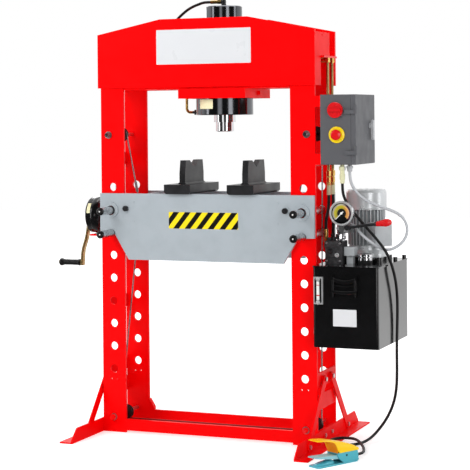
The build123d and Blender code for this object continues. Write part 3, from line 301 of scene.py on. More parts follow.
class Surfaces:
    """Makes each material once and hands it out by its finish and regions.

    patch_edges: Noise values between which a patch fades in.
    shine_edges: Noise values between which the roughness changes.
    shine_spread: Least and greatest roughness, as parts of the finish's own.
    """

    patch_edges = (0.4, 0.75)
    shine_edges = (0.3, 0.7)
    shine_spread = (0.85, 1.2)
    bump_strength = 0.8
    coat_roughness = 0.08

    def __init__(self) -> None:
        """Starts with no material made."""
        self.made: dict[Any, Material] = {}

    def of(self, finish: Finish, regions: tuple[Region, ...] = (), name: str = "") -> Material:
        """Material of a finish, with other finishes in boxes of the drawing.

        Args:
            finish: The main finish.
            regions: Boxes that show another finish, later ones on top.
            name: Name of the material where regions are given.

        Returns:
            The material.
        """
        key = (finish.name, regions)
        if key not in self.made:
            self.made[key] = self._build(finish, regions, name or finish.name)
        return self.made[key]

    def _texture(self, tree: bpy.types.NodeTree, finish: Finish, where: Any) -> tuple[Any, Any, Any]:
        """Colour, roughness and height sockets of one finish.

        Args:
            tree: Node tree of the material.
            finish: Finish to draw.
            where: Socket of the object coordinates.

        Returns:
            The sockets of colour, roughness and height.
        """
        patches = add_node(
            tree, "ShaderNodeTexNoise", {"Vector": where, "Scale": per_metre(finish.patch_mm), "Detail": 4.0})
        noise = patches.outputs["Fac"]
        amount = add_node(tree, "ShaderNodeMapRange", {
            "Value": noise, "From Min": self.patch_edges[0], "From Max": self.patch_edges[1],
            "To Min": 0.0, "To Max": finish.patch * 2})
        shades = {0: amount.outputs["Result"], 6: linear(finish.colour), 7: linear(finish.shade)}
        colour = add_node(tree, "ShaderNodeMix", shades, data_type="RGBA")
        shine = add_node(tree, "ShaderNodeMapRange", {
            "Value": noise, "From Min": self.shine_edges[0], "From Max": self.shine_edges[1],
            "To Min": finish.roughness * self.shine_spread[0],
            "To Max": min(1.0, finish.roughness * self.shine_spread[1])})
        grain = add_node(
            tree, "ShaderNodeTexNoise", {"Vector": where, "Scale": per_metre(finish.grain_mm), "Detail": 2.0})
        height = add_node(
            tree, "ShaderNodeMath", {0: grain.outputs["Fac"], 1: finish.bump_mm / 1000}, operation="MULTIPLY")
        return colour.outputs[2], shine.outputs["Result"], height.outputs["Value"]

    def _inside(self, tree: bpy.types.NodeTree, region: Region, axes: Any) -> Any:
        """Socket that is one inside a box of the drawing.

        Args:
            tree: Node tree of the material.
            region: The box; a side that lies very far out isn't tested.
            axes: Node that gives the object coordinates one by one.

        Returns:
            The product of the tests of all sides.
        """
        low, high = place(*region.low), place(*region.high)
        result = None
        for axis in range(3):
            for limit, operation in ((low[axis], "GREATER_THAN"), (high[axis], "LESS_THAN")):
                if abs(limit) > OPEN_METRES:
                    continue
                sides = {0: axes.outputs[axis], 1: limit}
                test = add_node(tree, "ShaderNodeMath", sides, operation=operation)
                if result is not None:
                    both = {0: test.outputs[0], 1: result}
                    test = add_node(tree, "ShaderNodeMath", both, operation="MULTIPLY")
                result = test.outputs[0]
        return result

    def _build(self, finish: Finish, regions: tuple[Region, ...], name: str) -> Material:
        """Builds the node tree of one material.

        Args:
            finish: The main finish.
            regions: Boxes that show another finish, later ones on top.
            name: Name of the material.

        Returns:
            The material.
        """
        material = bpy.data.materials.new(name)
        material.use_nodes = True
        tree = material.node_tree
        shader = tree.nodes["Principled BSDF"]
        where = add_node(tree, "ShaderNodeTexCoord").outputs["Object"]
        colour, shine, height = self._texture(tree, finish, where)
        metallic: Any = finish.metallic
        if regions:
            axes = add_node(tree, "ShaderNodeSeparateXYZ", {0: where})
            for region in regions:
                mask = self._inside(tree, region, axes)
                other, other_shine, _ = self._texture(tree, region.finish, where)
                mixed = add_node(tree, "ShaderNodeMix", {0: mask, 6: colour, 7: other}, data_type="RGBA")
                colour = mixed.outputs[2]
                shine = add_node(tree, "ShaderNodeMix", {0: mask, 2: shine, 3: other_shine}).outputs[0]
                bare = region.finish.metallic
                metallic = add_node(tree, "ShaderNodeMix", {0: mask, 2: metallic, 3: bare}).outputs[0]
        bump = add_node(
            tree, "ShaderNodeBump", {"Height": height, "Distance": 1.0, "Strength": self.bump_strength})
        tree.links.new(colour, shader.inputs["Base Color"])
        tree.links.new(shine, shader.inputs["Roughness"])
        tree.links.new(bump.outputs["Normal"], shader.inputs["Normal"])
        if isinstance(metallic, float):
            shader.inputs["Metallic"].default_value = metallic
        else:
            tree.links.new(metallic, shader.inputs["Metallic"])
        shader.inputs["Specular IOR Level"].default_value = finish.specular
        shader.inputs["Coat Weight"].default_value = finish.coat
        shader.inputs["Coat Roughness"].default_value = self.coat_roughness
        return material


def mesh_object(
    name: str, points: np.ndarray, faces: np.ndarray | list[Any], material: Material, smooth: bool = True
) -> Piece:
    """Makes an object from points in metres and faces.

    Args:
        name: Name of the piece.
        points: Array of positions in metres.
        faces: Rows of point numbers.
        material: Finish of the piece.
        smooth: Whether its faces are shaded smooth.

    Returns:
        The new object, at the origin.
    """
    mesh = bpy.data.meshes.new(name)
    rows = faces.tolist() if isinstance(faces, np.ndarray) else faces
    mesh.from_pydata([tuple(p) for p in points.tolist()], [], [tuple(f) for f in rows])
    mesh.polygons.foreach_set("use_smooth", [smooth] * len(mesh.polygons))
    mesh.materials.append(material)
    mesh.update()
    piece = bpy.data.objects.new(name, mesh)
    bpy.context.scene.collection.objects.link(piece)
    return piece


def grid_faces(rows: int, columns: int, wrap: bool = False) -> np.ndarray:
    """Quads of a grid of points, row by row.

    Args:
        rows: Number of rows of points.
        columns: Number of points in a row.
        wrap: Whether the last column is joined to the first.

    Returns:
        Four point numbers for each quad.
    """
    i, j = np.meshgrid(np.arange(rows - 1), np.arange(columns if wrap else columns - 1), indexing="ij")
    after = (j + 1) % columns
    here, next_row = i * columns, (i + 1) * columns
    return np.stack([here + j, here + after, next_row + after, next_row + j], -1).reshape(-1, 4)


def finish_normals(piece: Piece) -> Piece:
    """Closes seams and poles by merging points that coincide, and turns the faces outwards.

    Args:
        piece: A closed piece.

    Returns:
        The same piece.
    """
    work = bmesh.new()
    work.from_mesh(piece.data)
    bmesh.ops.remove_doubles(work, verts=work.verts, dist=MERGE_DISTANCE)
    bmesh.ops.recalc_face_normals(work, faces=work.faces)
    work.to_mesh(piece.data)
    work.free()
    return piece


def lofted(name: str, rings: np.ndarray, material: Material, smooth: bool = True) -> Piece:
    """Closed skin through rings of points, with one flat face over each end ring.

    Args:
        name: Name of the piece.
        rings: Array of rings, points and coordinates, in drawing millimetres.
        material: Finish of the piece.
        smooth: Whether its faces are shaded smooth, apart from sharp edges.

    Returns:
        The new object.
    """
    rows, count = rings.shape[:2]
    faces = grid_faces(rows, count, wrap=True).tolist()
    faces += [list(range(count))[::-1], list(range((rows - 1) * count, rows * count))]
    piece = finish_normals(mesh_object(name, placed(rings.reshape(-1, 3)), faces, material, smooth))
    piece.data.set_sharp_from_angle(angle=math.radians(SHARP_EDGE))
    return piece


def superellipse(count: int, power: float) -> tuple[np.ndarray, np.ndarray]:
    """Unit superellipse, |x|^power + |y|^power = 1, as its two coordinates.

    Args:
        count: Number of points round it.
        power: Two for a circle, more for a squarer outline.

    Returns:
        The x and the y of its points.
    """
    angle = np.linspace(0, 2 * math.pi, count, endpoint=False)
    across, up = np.cos(angle), np.sin(angle)
    return np.sign(across) * np.abs(across) ** (2 / power), np.sign(up) * np.abs(up) ** (2 / power)


def swept_bar(
    name: str, path: np.ndarray, across: Any, depth: Any, face: Point, material: Material,
    power: float = 2.0, count: int = 24,
) -> Piece:
    """Bar along a path with a superellipse section, square to the path.

    The section's depth points along the part of the face vector that is square to the
    path, and its width along the cross product of the path and that.

    Args:
        name: Name of the piece.
        path: Rows of positions in drawing millimetres.
        across: Half width, one value or one for each position.
        depth: Half depth, the same way.
        face: Direction that the depth points to.
        material: Finish of the piece.
        power: Power of the superellipse.
        count: Number of points round the section.

    Returns:
        The new object.
    """
    line = np.asarray(path, float)
    ahead = np.gradient(line, axis=0)
    ahead /= np.linalg.norm(ahead, axis=1, keepdims=True)
    lift = np.array(face, float) - ahead * (ahead @ np.array(face, float))[:, None]
    lift /= np.linalg.norm(lift, axis=1, keepdims=True)
    side = np.cross(ahead, lift)
    wide = np.broadcast_to(np.asarray(across, float), (len(line),))[:, None, None]
    deep = np.broadcast_to(np.asarray(depth, float), (len(line),))[:, None, None]
    x, y = superellipse(count, power)
    rings = line[:, None] + side[:, None] * wide * x[None, :, None] + lift[:, None] * deep * y[None, :, None]
    return lofted(name, rings, material)


def rounded_sheet(
    name: str, corner: Point, across: Point, up: Point, lift: Point, radius: float, material: Material
) -> Piece:
    """Flat sheet with rounded corners and a softened edge, as a closed solid.

    The outline is four quarter circles of the radius. It is carried up the edge in
    three rings, of which the last is drawn in a little.

    Args:
        name: Name of the piece.
        corner: Lower left corner in drawing millimetres.
        across: Vector of its width.
        up: Vector of its height.
        lift: Vector of its thickness, away from what it lies on.
        radius: Corner radius in millimetres.
        material: Finish of the piece.

    Returns:
        The new object.
    """
    a, b, c, origin = (np.array(v, float) for v in (across, up, lift, corner))
    width, height, thick = np.linalg.norm(a), np.linalg.norm(b), np.linalg.norm(c)
    drawn_in, shoulder, steps = 0.4, 0.6, 6
    inset = np.array([0.0, 0.0, min(thick, radius) * drawn_in])[:, None]
    level = np.array([0.0, shoulder, 1.0])
    quarter = np.repeat(np.arange(4), steps)
    angle = np.tile(np.linspace(0, math.pi / 2, steps), 4) + quarter * math.pi / 2
    centre_x = np.where((quarter == 0) | (quarter == 3), width - radius, radius)
    centre_y = np.where(quarter < 2, height - radius, radius)
    x = centre_x + (radius - inset) * np.cos(angle)
    y = centre_y + (radius - inset) * np.sin(angle)
    rings = origin + x[..., None] * a / width + y[..., None] * b / height + (level[:, None] * c)[:, None]
    return lofted(name, rings, material)


def turned_piece(
    name: str, profile: Profile, axis: str, u: float, v: float, material: Material, segments: int = 64
) -> Piece:
    """Surface of revolution: the profile's (radius, height) points swept round an axis.

    A point of the profile with no radius makes a pole.

    Args:
        name: Name of the piece.
        profile: Points from one end of the axis to the other, in millimetres.
        axis: "x", "y" or "z".
        u: First of the other two coordinates of the axis.
        v: Second of them.
        material: Finish of the piece.
        segments: Number of steps round.

    Returns:
        The new object.
    """
    outline = np.array(profile, float)
    angle = np.linspace(0, 2 * math.pi, segments, endpoint=False)
    radius, height = outline[:, :1], np.repeat(outline[:, 1:], segments, 1)
    first, second = u + radius * np.cos(angle), v + radius * np.sin(angle)
    order = {"x": (height, first, second), "y": (first, height, second), "z": (first, second, height)}
    points = np.stack(order[axis], -1).reshape(-1, 3)
    piece = mesh_object(name, placed(points), grid_faces(len(outline), segments, wrap=True), material)
    return finish_normals(piece)


@dataclass
class Camera:
    """The photograph's camera: level, with a rise-and-fall shift that keeps verticals upright.

    spot: Place of the lens in drawing millimetres.
    yaw_deg: Turn of the line of sight, to the left.
    roll_deg: Turn of the picture about the line of sight.
    focal_px: Focal length in pixels of the photograph.
    frame_px: Side of the photograph in pixels.
    horizon_px: Height of the horizon in it, from the top.
    sensor_mm: Width of Blender's sensor, which the focal length is scaled to.
    reach_m: Furthest distance that the camera sees.
    """

    spot: Point = (2596.0, -6260.0, 1385.0)
    yaw_deg: float = 21.825
    roll_deg: float = -0.514
    focal_px: float = 1547.4
    frame_px: float = 470.0
    horizon_px: float = 116.5
    sensor_mm: float = 36.0
    reach_m: float = 60.0

    def build(self) -> None:
        """Creates the camera and makes it the scene's own."""
        yaw, roll = math.radians(self.yaw_deg), math.radians(self.roll_deg)
        ahead = Vector((-math.sin(yaw), math.cos(yaw), 0))
        right = Vector((math.cos(yaw), math.sin(yaw), 0))
        up = right.cross(ahead)
        rolled_right = right * math.cos(roll) + up * math.sin(roll)
        rolled_up = -right * math.sin(roll) + up * math.cos(roll)
        data = bpy.data.cameras.new("photo_camera")
        data.sensor_width = self.sensor_mm
        data.lens = self.focal_px / self.frame_px * self.sensor_mm
        data.shift_y = (self.horizon_px - self.frame_px / 2) / self.frame_px
        data.clip_end = self.reach_m
        camera = bpy.data.objects.new("photo_camera", data)
        turn = Matrix((rolled_right, rolled_up, -ahead)).transposed().to_4x4()
        camera.matrix_world = Matrix.Translation(place(*self.spot)) @ turn
        bpy.context.scene.collection.objects.link(camera)
        bpy.context.scene.camera = camera


@dataclass
class Studio:
    """White floor, white surroundings and large soft lamps.

    lamps: Name, place in drawing millimetres, width and height in metres, and watts.
    glossless: Lamps that don't show in gloss.
    aim: Point that every lamp faces.
    ambient: Strength of the surroundings as soft light.
    dark_side: Strength of the darkest part of the room that shows in gloss.
    dark_edges: Cosines to the front between which the room turns from dark to white.
    front: Direction of the dark part.
    windows: Bright parts that show in gloss: direction, cosine at the edge, and strength.
    window_blur: Where a window starts and ends to brighten, from the cosine at its edge.
    floor_side: Half the side of the floor in metres.
    """

    lamps: tuple[tuple[str, Point, float, float, float], ...] = (
        ("key", (-1700.0, -3700.0, 3200.0), 1.8, 1.8, 78.0),
        ("fill", (3700.0, -2300.0, 2300.0), 1.6, 1.6, 22.0),
        ("top", (200.0, 600.0, 4200.0), 2.4, 2.4, 40.0),
        ("rim", (-2600.0, 2600.0, 2600.0), 2.0, 2.0, 30.0),
        ("strip_front", (3300.0, -3200.0, 1300.0), 1.3, 3.2, 36.0),
        ("strip_left", (-2600.0, -2300.0, 1300.0), 0.6, 3.0, 16.0),
        ("strip_right", (3600.0, 300.0, 1300.0), 0.7, 3.0, 16.0),
    )
    glossless: tuple[str, ...] = ("key", "fill")
    aim: Point = (0.0, 0.0, 900.0)
    ambient: float = 0.5
    dark_side: float = 0.035
    dark_edges: tuple[float, float] = (0.3, -0.1)
    front: Point = (0.372, -0.928, 0.0)
    windows: tuple[tuple[Point, float, float], ...] = (((0.05, -0.998, 0.0), 0.99, 1.2),)
    window_blur: tuple[float, float] = (-0.006, 0.004)
    floor_side: float = 14.0

    def build(self) -> None:
        """Creates world, lamps and floor."""
        scene = bpy.context.scene
        scene.view_settings.view_transform = "Standard"
        self._world()
        for name, spot, width, height, power in self.lamps:
            data = bpy.data.lights.new(name, "AREA")
            data.shape = "RECTANGLE"
            data.size, data.size_y, data.energy = width, height, power
            lamp = bpy.data.objects.new(name, data)
            lamp.location = place(*spot)
            lamp.visible_glossy = name not in self.glossless
            lamp.rotation_euler = (place(*self.aim) - lamp.location).to_track_quat("-Z", "Y").to_euler()
            scene.collection.objects.link(lamp)
        self._floor()

    def _world(self) -> None:
        """Makes surroundings that are white to the camera, soft as light, and half dark in gloss."""
        world = bpy.data.worlds.new("white_room")
        world.use_nodes = True
        bpy.context.scene.world = world
        tree = world.node_tree
        tree.nodes.clear()
        path = add_node(tree, "ShaderNodeLightPath")
        rays = {0: path.outputs["Is Camera Ray"], 1: path.outputs["Is Transmission Ray"]}
        seen = add_node(tree, "ShaderNodeMath", rays, operation="MAXIMUM").outputs[0]
        view = add_node(tree, "ShaderNodeTexCoord").outputs["Generated"]
        towards = add_node(tree, "ShaderNodeVectorMath", {0: view, 1: self.front}, operation="DOT_PRODUCT")
        shine = add_node(tree, "ShaderNodeMapRange", {
            "Value": towards.outputs["Value"], "From Min": self.dark_edges[0], "From Max": self.dark_edges[1],
            "To Min": self.dark_side, "To Max": 1.0}).outputs["Result"]
        for direction, edge, strength in self.windows:
            near = add_node(tree, "ShaderNodeVectorMath", {0: view, 1: direction}, operation="DOT_PRODUCT")
            start, end = (edge + blur for blur in self.window_blur)
            window = add_node(tree, "ShaderNodeMapRange", {
                "Value": near.outputs["Value"], "From Min": start, "From Max": end,
                "To Min": 0.0, "To Max": strength}).outputs["Result"]
            shine = add_node(tree, "ShaderNodeMath", {0: shine, 1: window}, operation="ADD").outputs[0]
        mirrored, soft, white = (
            add_node(tree, "ShaderNodeBackground", {"Color": (1, 1, 1, 1), "Strength": strength}).outputs[0]
            for strength in (shine, self.ambient, 1.0))
        lit = add_node(tree, "ShaderNodeMixShader", {0: path.outputs["Is Glossy Ray"], 1: soft, 2: mirrored})
        mix = add_node(tree, "ShaderNodeMixShader", {0: seen, 1: lit.outputs[0], 2: white})
        add_node(tree, "ShaderNodeOutputWorld", {"Surface": mix.outputs[0]})

    def _floor(self) -> None:
        """Makes a wide white floor that keeps the soft shadow of the press.

        To the camera it glows more the further it lies from the press, until it meets
        the white room. In gloss it is dark in front of the press and white behind it.
        """
        material = bpy.data.materials.new("white_floor_paint")
        material.use_nodes = True
        tree = material.node_tree
        shader = tree.nodes["Principled BSDF"]
        where = add_node(tree, "ShaderNodeTexCoord").outputs["Object"]
        path = add_node(tree, "ShaderNodeLightPath")
        in_gloss = path.outputs["Is Glossy Ray"]
        back = add_node(tree, "ShaderNodeSeparateXYZ", {0: where}).outputs["Y"]
        away = add_node(tree, "ShaderNodeVectorMath", {0: where}, operation="LENGTH").outputs["Value"]
        sweep, far, rear = (
            add_node(tree, "ShaderNodeMapRange", {
                "Value": distance, "From Min": start, "From Max": end, "To Min": low, "To Max": high,
            }).outputs["Result"]
            for distance, start, end, low, high in (
                (back, -0.6, 1.2, 0.05, 0.9), (away, 1.4, 4.5, 0.44, 1.0), (back, 0.8, 3.0, 0.0, 0.42)))
        mottle = add_node(tree, "ShaderNodeTexNoise", {"Vector": where, "Scale": per_metre(400)})
        shades = {0: mottle.outputs["Fac"], 6: linear("FBFBFB"), 7: linear("F6F6F6")}
        tint = add_node(tree, "ShaderNodeMix", shades, data_type="RGBA").outputs[2]
        paint = add_node(tree, "ShaderNodeMix", {0: in_gloss, 6: tint, 7: sweep}, data_type="RGBA").outputs[2]
        seen, shown = (
            add_node(tree, "ShaderNodeMath", {0: ray, 1: strength}, operation="MULTIPLY").outputs[0]
            for ray, strength in ((path.outputs["Is Camera Ray"], far), (in_gloss, rear)))
        glow = add_node(tree, "ShaderNodeMath", {0: seen, 1: shown}, operation="ADD").outputs[0]
        for socket, value in (("Base Color", paint), ("Emission Color", tint), ("Emission Strength", glow)):
            tree.links.new(value, shader.inputs[socket])
        shader.inputs["Roughness"].default_value = 0.9
        shader.inputs["Specular IOR Level"].default_value = 0.0
        side = self.floor_side
        corners = np.array([[-side, -side, 0], [side, -side, 0], [side, side, 0], [-side, side, 0]])
        mesh_object("studio_floor", corners, [[0, 1, 2, 3]], material, smooth=False)


class CableKind(Enum):
    """How a free cable behaves."""

    PEDAL = "limp"
    SWITCH = "medium"


@dataclass
class FreeCable:
    """A round sheathed cable along the route of the drawing."""

    name: str
    node: str
    kind: CableKind
    length_m: float
    route: tuple[Point, ...]
    finish: Finish
    diameter: float = 12.0

    def build(self, surfaces: Surfaces) -> Piece:
        """Args:
            surfaces: Maker of the materials.

        Returns:
            The curve object.
        """
        data = bpy.data.curves.new(self.name, "CURVE")
        data.dimensions = "3D"
        data.bevel_depth = self.diameter / 2000
        data.bevel_resolution = 6
        data.use_fill_caps = True
        data.resolution_u = 12
        spline = data.splines.new("NURBS")
        spline.points.add(len(self.route) - 1)
        flat = np.array([[*place(*point), 1.0] for point in self.route]).ravel()
        spline.points.foreach_set("co", flat)
        spline.order_u = 3
        spline.use_endpoint_u = True
        data.materials.append(surfaces.of(self.finish))
        piece = bpy.data.objects.new(self.name, data)
        bpy.context.scene.collection.objects.link(piece)
        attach(piece, "frame")
        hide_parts(self.node)
        return piece


# The foot switch's turn from the drawing's x axis, the point at its front that it is measured from,
# and the distance from there to its cable.
PEDAL_TURN = math.radians(61.6)
PEDAL_NEAR = (601.5, -481.0)
PEDAL_LONG = 220
PEDAL_AHEAD = (math.cos(PEDAL_TURN), math.sin(PEDAL_TURN))
PEDAL_REAR = (PEDAL_NEAR[0] + PEDAL_LONG * PEDAL_AHEAD[0], PEDAL_NEAR[1] + PEDAL_LONG * PEDAL_AHEAD[1])
# The cable leaves the foot switch straight for this many millimetres, at this height.
ENTRY_RUN = 42
ENTRY_HEIGHT = 14
PEDAL_ROUTE: tuple[Point, ...] = (
    (606, -90, 1101), (606, -90, 1070), (609, -76, 1040), (621, -59, 1008), (643, -52, 977), (668, -53, 949),
    (700, -58, 915), (738, -61, 876), (771, -62, 837), (793, -55, 798), (803, -34, 752), (805, 2, 700),
    (803, 34, 636), (800, 48, 560), (798, 46, 478), (798, 38, 394), (800, 33, 314), (797, 36, 244),
    (784, 50, 186), (762, 66, 134), (736, 72, 88), (710, 56, 50), (690, 20, 24), (670, -26, 11),
    (640, -68, 7), (602, -94, 9), (566, -98, 13), (539, -82, 14), (528, -54, 14), (534, -24, 15),
    (556, -4, 17), (590, 0, 19), (628, -20, 22), (662, -62, 21), (690, -108, 14), (710, -154, 9),
    (722, -204, 10),
    (PEDAL_REAR[0] + ENTRY_RUN * PEDAL_AHEAD[0], PEDAL_REAR[1] + ENTRY_RUN * PEDAL_AHEAD[1], ENTRY_HEIGHT),
    (*PEDAL_REAR, ENTRY_HEIGHT),
)
SWITCH_ROUTE: tuple[Point, ...] = (
    (633, -72, 1150), (633, -72, 1122), (640, -60, 1088), (660, -45, 1054), (694, -36, 1027),
    (738, -32, 1008), (784, -30, 993), (826, -28, 977), (856, -28, 950), (869, -29, 913), (862, -32, 876),
    (838, -36, 846), (802, -39, 825), (767, -42, 824), (734, -66, 847), (699, -72, 873), (664, -50, 899),
    (634, -36, 927), (608, -29, 931), (588, -25, 921), (576, -24.2, 902), (574, -24, 884), (574, -24, 866),
)


@dataclass
class Cables:
    """Both free cables of the press."""

    pedal: FreeCable = field(default_factory=lambda: FreeCable(
        "pedal_cable_sheath", "pedal_cable", CableKind.PEDAL, 2.0, PEDAL_ROUTE, BLACK_RUBBER))
    switch: FreeCable = field(default_factory=lambda: FreeCable(
        "switch_cable_sheath", "switch_cable", CableKind.SWITCH, 0.794, SWITCH_ROUTE, GREY_PVC))

    def build(self, surfaces: Surfaces) -> None:
        """Args:
            surfaces: Maker of the materials.
        """
        for cable in (self.pedal, self.switch):
            cable.build(surfaces)
            log.info("cable %s", cable.name)


def dress(frame: dict[str, Any], node: str, material: Material) -> None:
    """Gives a CAD node its material.

    Args:
        frame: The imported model.
        node: Name of the node.
        material: Its finish.
    """
    piece = frame["nodes"][node]
    if not piece.material_slots:
        piece.data.materials.append(material)
    for slot in piece.material_slots:
        slot.material = material


@dataclass
class FrameDress:
    """Finishes of the columns, base, crown, pipes and fasteners, and the bare name plate."""

    red_nodes: tuple[str, ...] = (
        "right_webs", "left_webs", "column_ties", "base_beams", "feet_and_braces", "crown_plates",
        "crown_end_plates", "crown_rails", "carriage", "winch_base",
    )
    low_axle: tuple[float, float] = (448.0, 66.0)
    upper_axle: tuple[float, float] = (462.0, 1308.0)
    painted_reach: float = 22.0
    axle_cap: Profile = ((0, -151.0), (7.6, -151.0), (7.2, -151.8), (4.2, -151.8), (4.0, -151.2), (0, -151.2))

    def build(self, surfaces: Surfaces, frame: dict[str, Any]) -> None:
        """Dresses the nodes and adds the bare name plate and the caps of the upper axles.

        Args:
            surfaces: Maker of the materials.
            frame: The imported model.
        """
        for node in self.red_nodes:
            dress(frame, node, surfaces.of(RED_ENAMEL))
        reach = self.painted_reach
        axle_x, axle_z = self.low_axle
        low, high = axle_z - reach, axle_z + reach
        painted = tuple(
            Region((side * axle_x - reach, -BIG, low), (side * axle_x + reach, -130, high), RED_ENAMEL)
            for side in (-1, 1))
        dress(frame, "frame_fasteners", surfaces.of(ZINC, painted, "zinc_with_painted_low_nuts"))
        unions = tuple(
            Region((-BIG, -BIG, low), (BIG, BIG, high), finish) for low, high, finish in (
                (1040, 1087, CREAM_NYLON), (1087, 1155, BRASS), (1611, 1631.9, BRASS),
                (1631.9, BIG, RED_ENAMEL)))
        dress(frame, "rigid_pipes", surfaces.of(YELLOW_ZINC, unions, "pipes_with_unions"))
        for node in ("valve_hoses", "crown_hoses"):
            dress(frame, node, surfaces.of(BLACK_RUBBER))
        plate = rounded_sheet(
            "crown_name_plate", (-220, -141, 1613), (440, 0, 0), (0, 0, 150), (0, -1.2, 0), 3,
            surfaces.of(WHITE_FILM))
        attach(plate, "frame")
        x, z = self.upper_axle
        for side, word in ((-1, "left"), (1, "right")):
            cap = turned_piece(
                f"axle_end_{word}", self.axle_cap, "y", side * x, z, surfaces.of(BLACK_OXIDE), 32)
            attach(cap, "frame")


@dataclass
class CylinderDress:
    """Finishes of the cylinder, ram and nose, and the bare sticker."""

    axis_x: float = 41
    sticker_turn: tuple[float, float] = (-126, -92)
    sticker_steps: int = 15
    sticker_section: Profile = ((125.1, 1419.0), (125.5, 1419.0), (125.5, 1460.0), (125.1, 1460.0))

    def build(self, surfaces: Surfaces, frame: dict[str, Any]) -> None:
        """Dresses the nodes and adds the sticker, a piece of a tube round the cylinder's axis.

        Args:
            surfaces: Maker of the materials.
            frame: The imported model.
        """
        dress(frame, "cylinder", surfaces.of(DARK_CHROME))
        dress(frame, "ram", surfaces.of(CHROME))
        dress(frame, "ram_nose", surfaces.of(CHROME))
        dress(frame, "cylinder_fittings", surfaces.of(BRASS, (
            Region((-110, -BIG, 1390), (-80, BIG, 1420), BLACK_OXIDE),
            Region((-BIG, -BIG, 1866), ALL_HIGH, BLACK_OXIDE),
            Region((-21, -BIG, 1866), (30, BIG, 1910), BRASS),
        ), "cylinder_unions"))
        angle = np.radians(np.linspace(*self.sticker_turn, self.sticker_steps))[:, None]
        reach, height = np.array(self.sticker_section, float).T
        tall = np.broadcast_to(height, (self.sticker_steps, len(height)))
        rings = np.stack([self.axis_x + reach * np.cos(angle), reach * np.sin(angle), tall], -1)
        sticker = lofted("cylinder_sticker", rings, surfaces.of(CREAM_FILM))
        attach(sticker, "carriage")


@dataclass
class BedDress:
    """Finishes of the bed, V-blocks, sheaves and pins, and the striped strip."""

    pin_x: float = 444
    pin_heights: tuple[tuple[str, float], ...] = (("upper", 977.8), ("lower", 877.8))
    pin_black_from: float = -249
    pin_centre: Profile = ((0, -258.8), (3.4, -258.8), (3.1, -259.3), (0, -259.3))
    stripe_pair: float = 54.0
    stripe_slope: float = 0.8
    stripe_start: float = 0.12

    def build(self, surfaces: Surfaces, frame: dict[str, Any]) -> None:
        """Dresses the nodes, and adds the pins' white centres and the striped strip.

        Args:
            surfaces: Maker of the materials.
            frame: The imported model.
        """
        for node, finish in (("bed_plates", GREY_ENAMEL), ("bed_cross_plates", GREY_ENAMEL),
                             ("anchor_rods", BLACK_OXIDE), ("v_blocks", BLACK_OXIDE)):
            dress(frame, node, surfaces.of(finish))
        black_end = (Region(ALL_LOW, (BIG, self.pin_black_from, BIG), BLACK_ABS),)
        pin_steel = surfaces.of(GROUND_STEEL, black_end, "pin_steel_with_black_end")
        for side, word in ((-1, "left"), (1, "right")):
            for level, height in self.pin_heights:
                dress(frame, f"pin_{word}_{level}", pin_steel)
                dress(frame, f"sheave_{word}_{level}", surfaces.of(BLACK_ABS))
                dot = turned_piece(
                    f"pin_centre_{word}_{level}", self.pin_centre, "y", side * self.pin_x, height,
                    surfaces.of(WHITE_LACQUER), 24)
                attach(dot, f"pin_{word}_{level}")
        strip = rounded_sheet(
            "hazard_strip", (-166, -145, 903), (323, 0, 0), (0, 0, 71), (0, -0.4, 0), 0.5, self._stripes(),
        )
        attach(strip, "bed")

    def _stripes(self) -> Material:
        """Printed film with slanting black and yellow bands, each 27 mm wide along the strip.

        The slant takes the height from the distance along; what is left after whole
        pairs of bands says which of the two colours shows.

        Returns:
            The material.
        """
        material = bpy.data.materials.new("striped_marking_film")
        material.use_nodes = True
        tree = material.node_tree
        shader = tree.nodes["Principled BSDF"]
        where = add_node(tree, "ShaderNodeTexCoord").outputs["Object"]
        axes = add_node(tree, "ShaderNodeSeparateXYZ", {0: where})
        value = axes.outputs["Z"]
        for operation, inputs in (
            ("MULTIPLY", {1: self.stripe_slope}), ("SUBTRACT", {0: axes.outputs["X"]}),
            ("MULTIPLY", {1: 1000 / self.stripe_pair}), ("ADD", {1: self.stripe_start}), ("FRACT", {}),
            ("GREATER_THAN", {1: 0.5}),
        ):
            taken = 1 if 0 in inputs else 0
            value = add_node(tree, "ShaderNodeMath", {taken: value, **inputs}, operation=operation).outputs[0]
        bands = {0: value, 6: linear("FBE004"), 7: linear("0E0E0E")}
        colour = add_node(tree, "ShaderNodeMix", bands, data_type="RGBA")
        tree.links.new(colour.outputs[2], shader.inputs["Base Color"])
        shader.inputs["Roughness"].default_value = 0.35
        return material


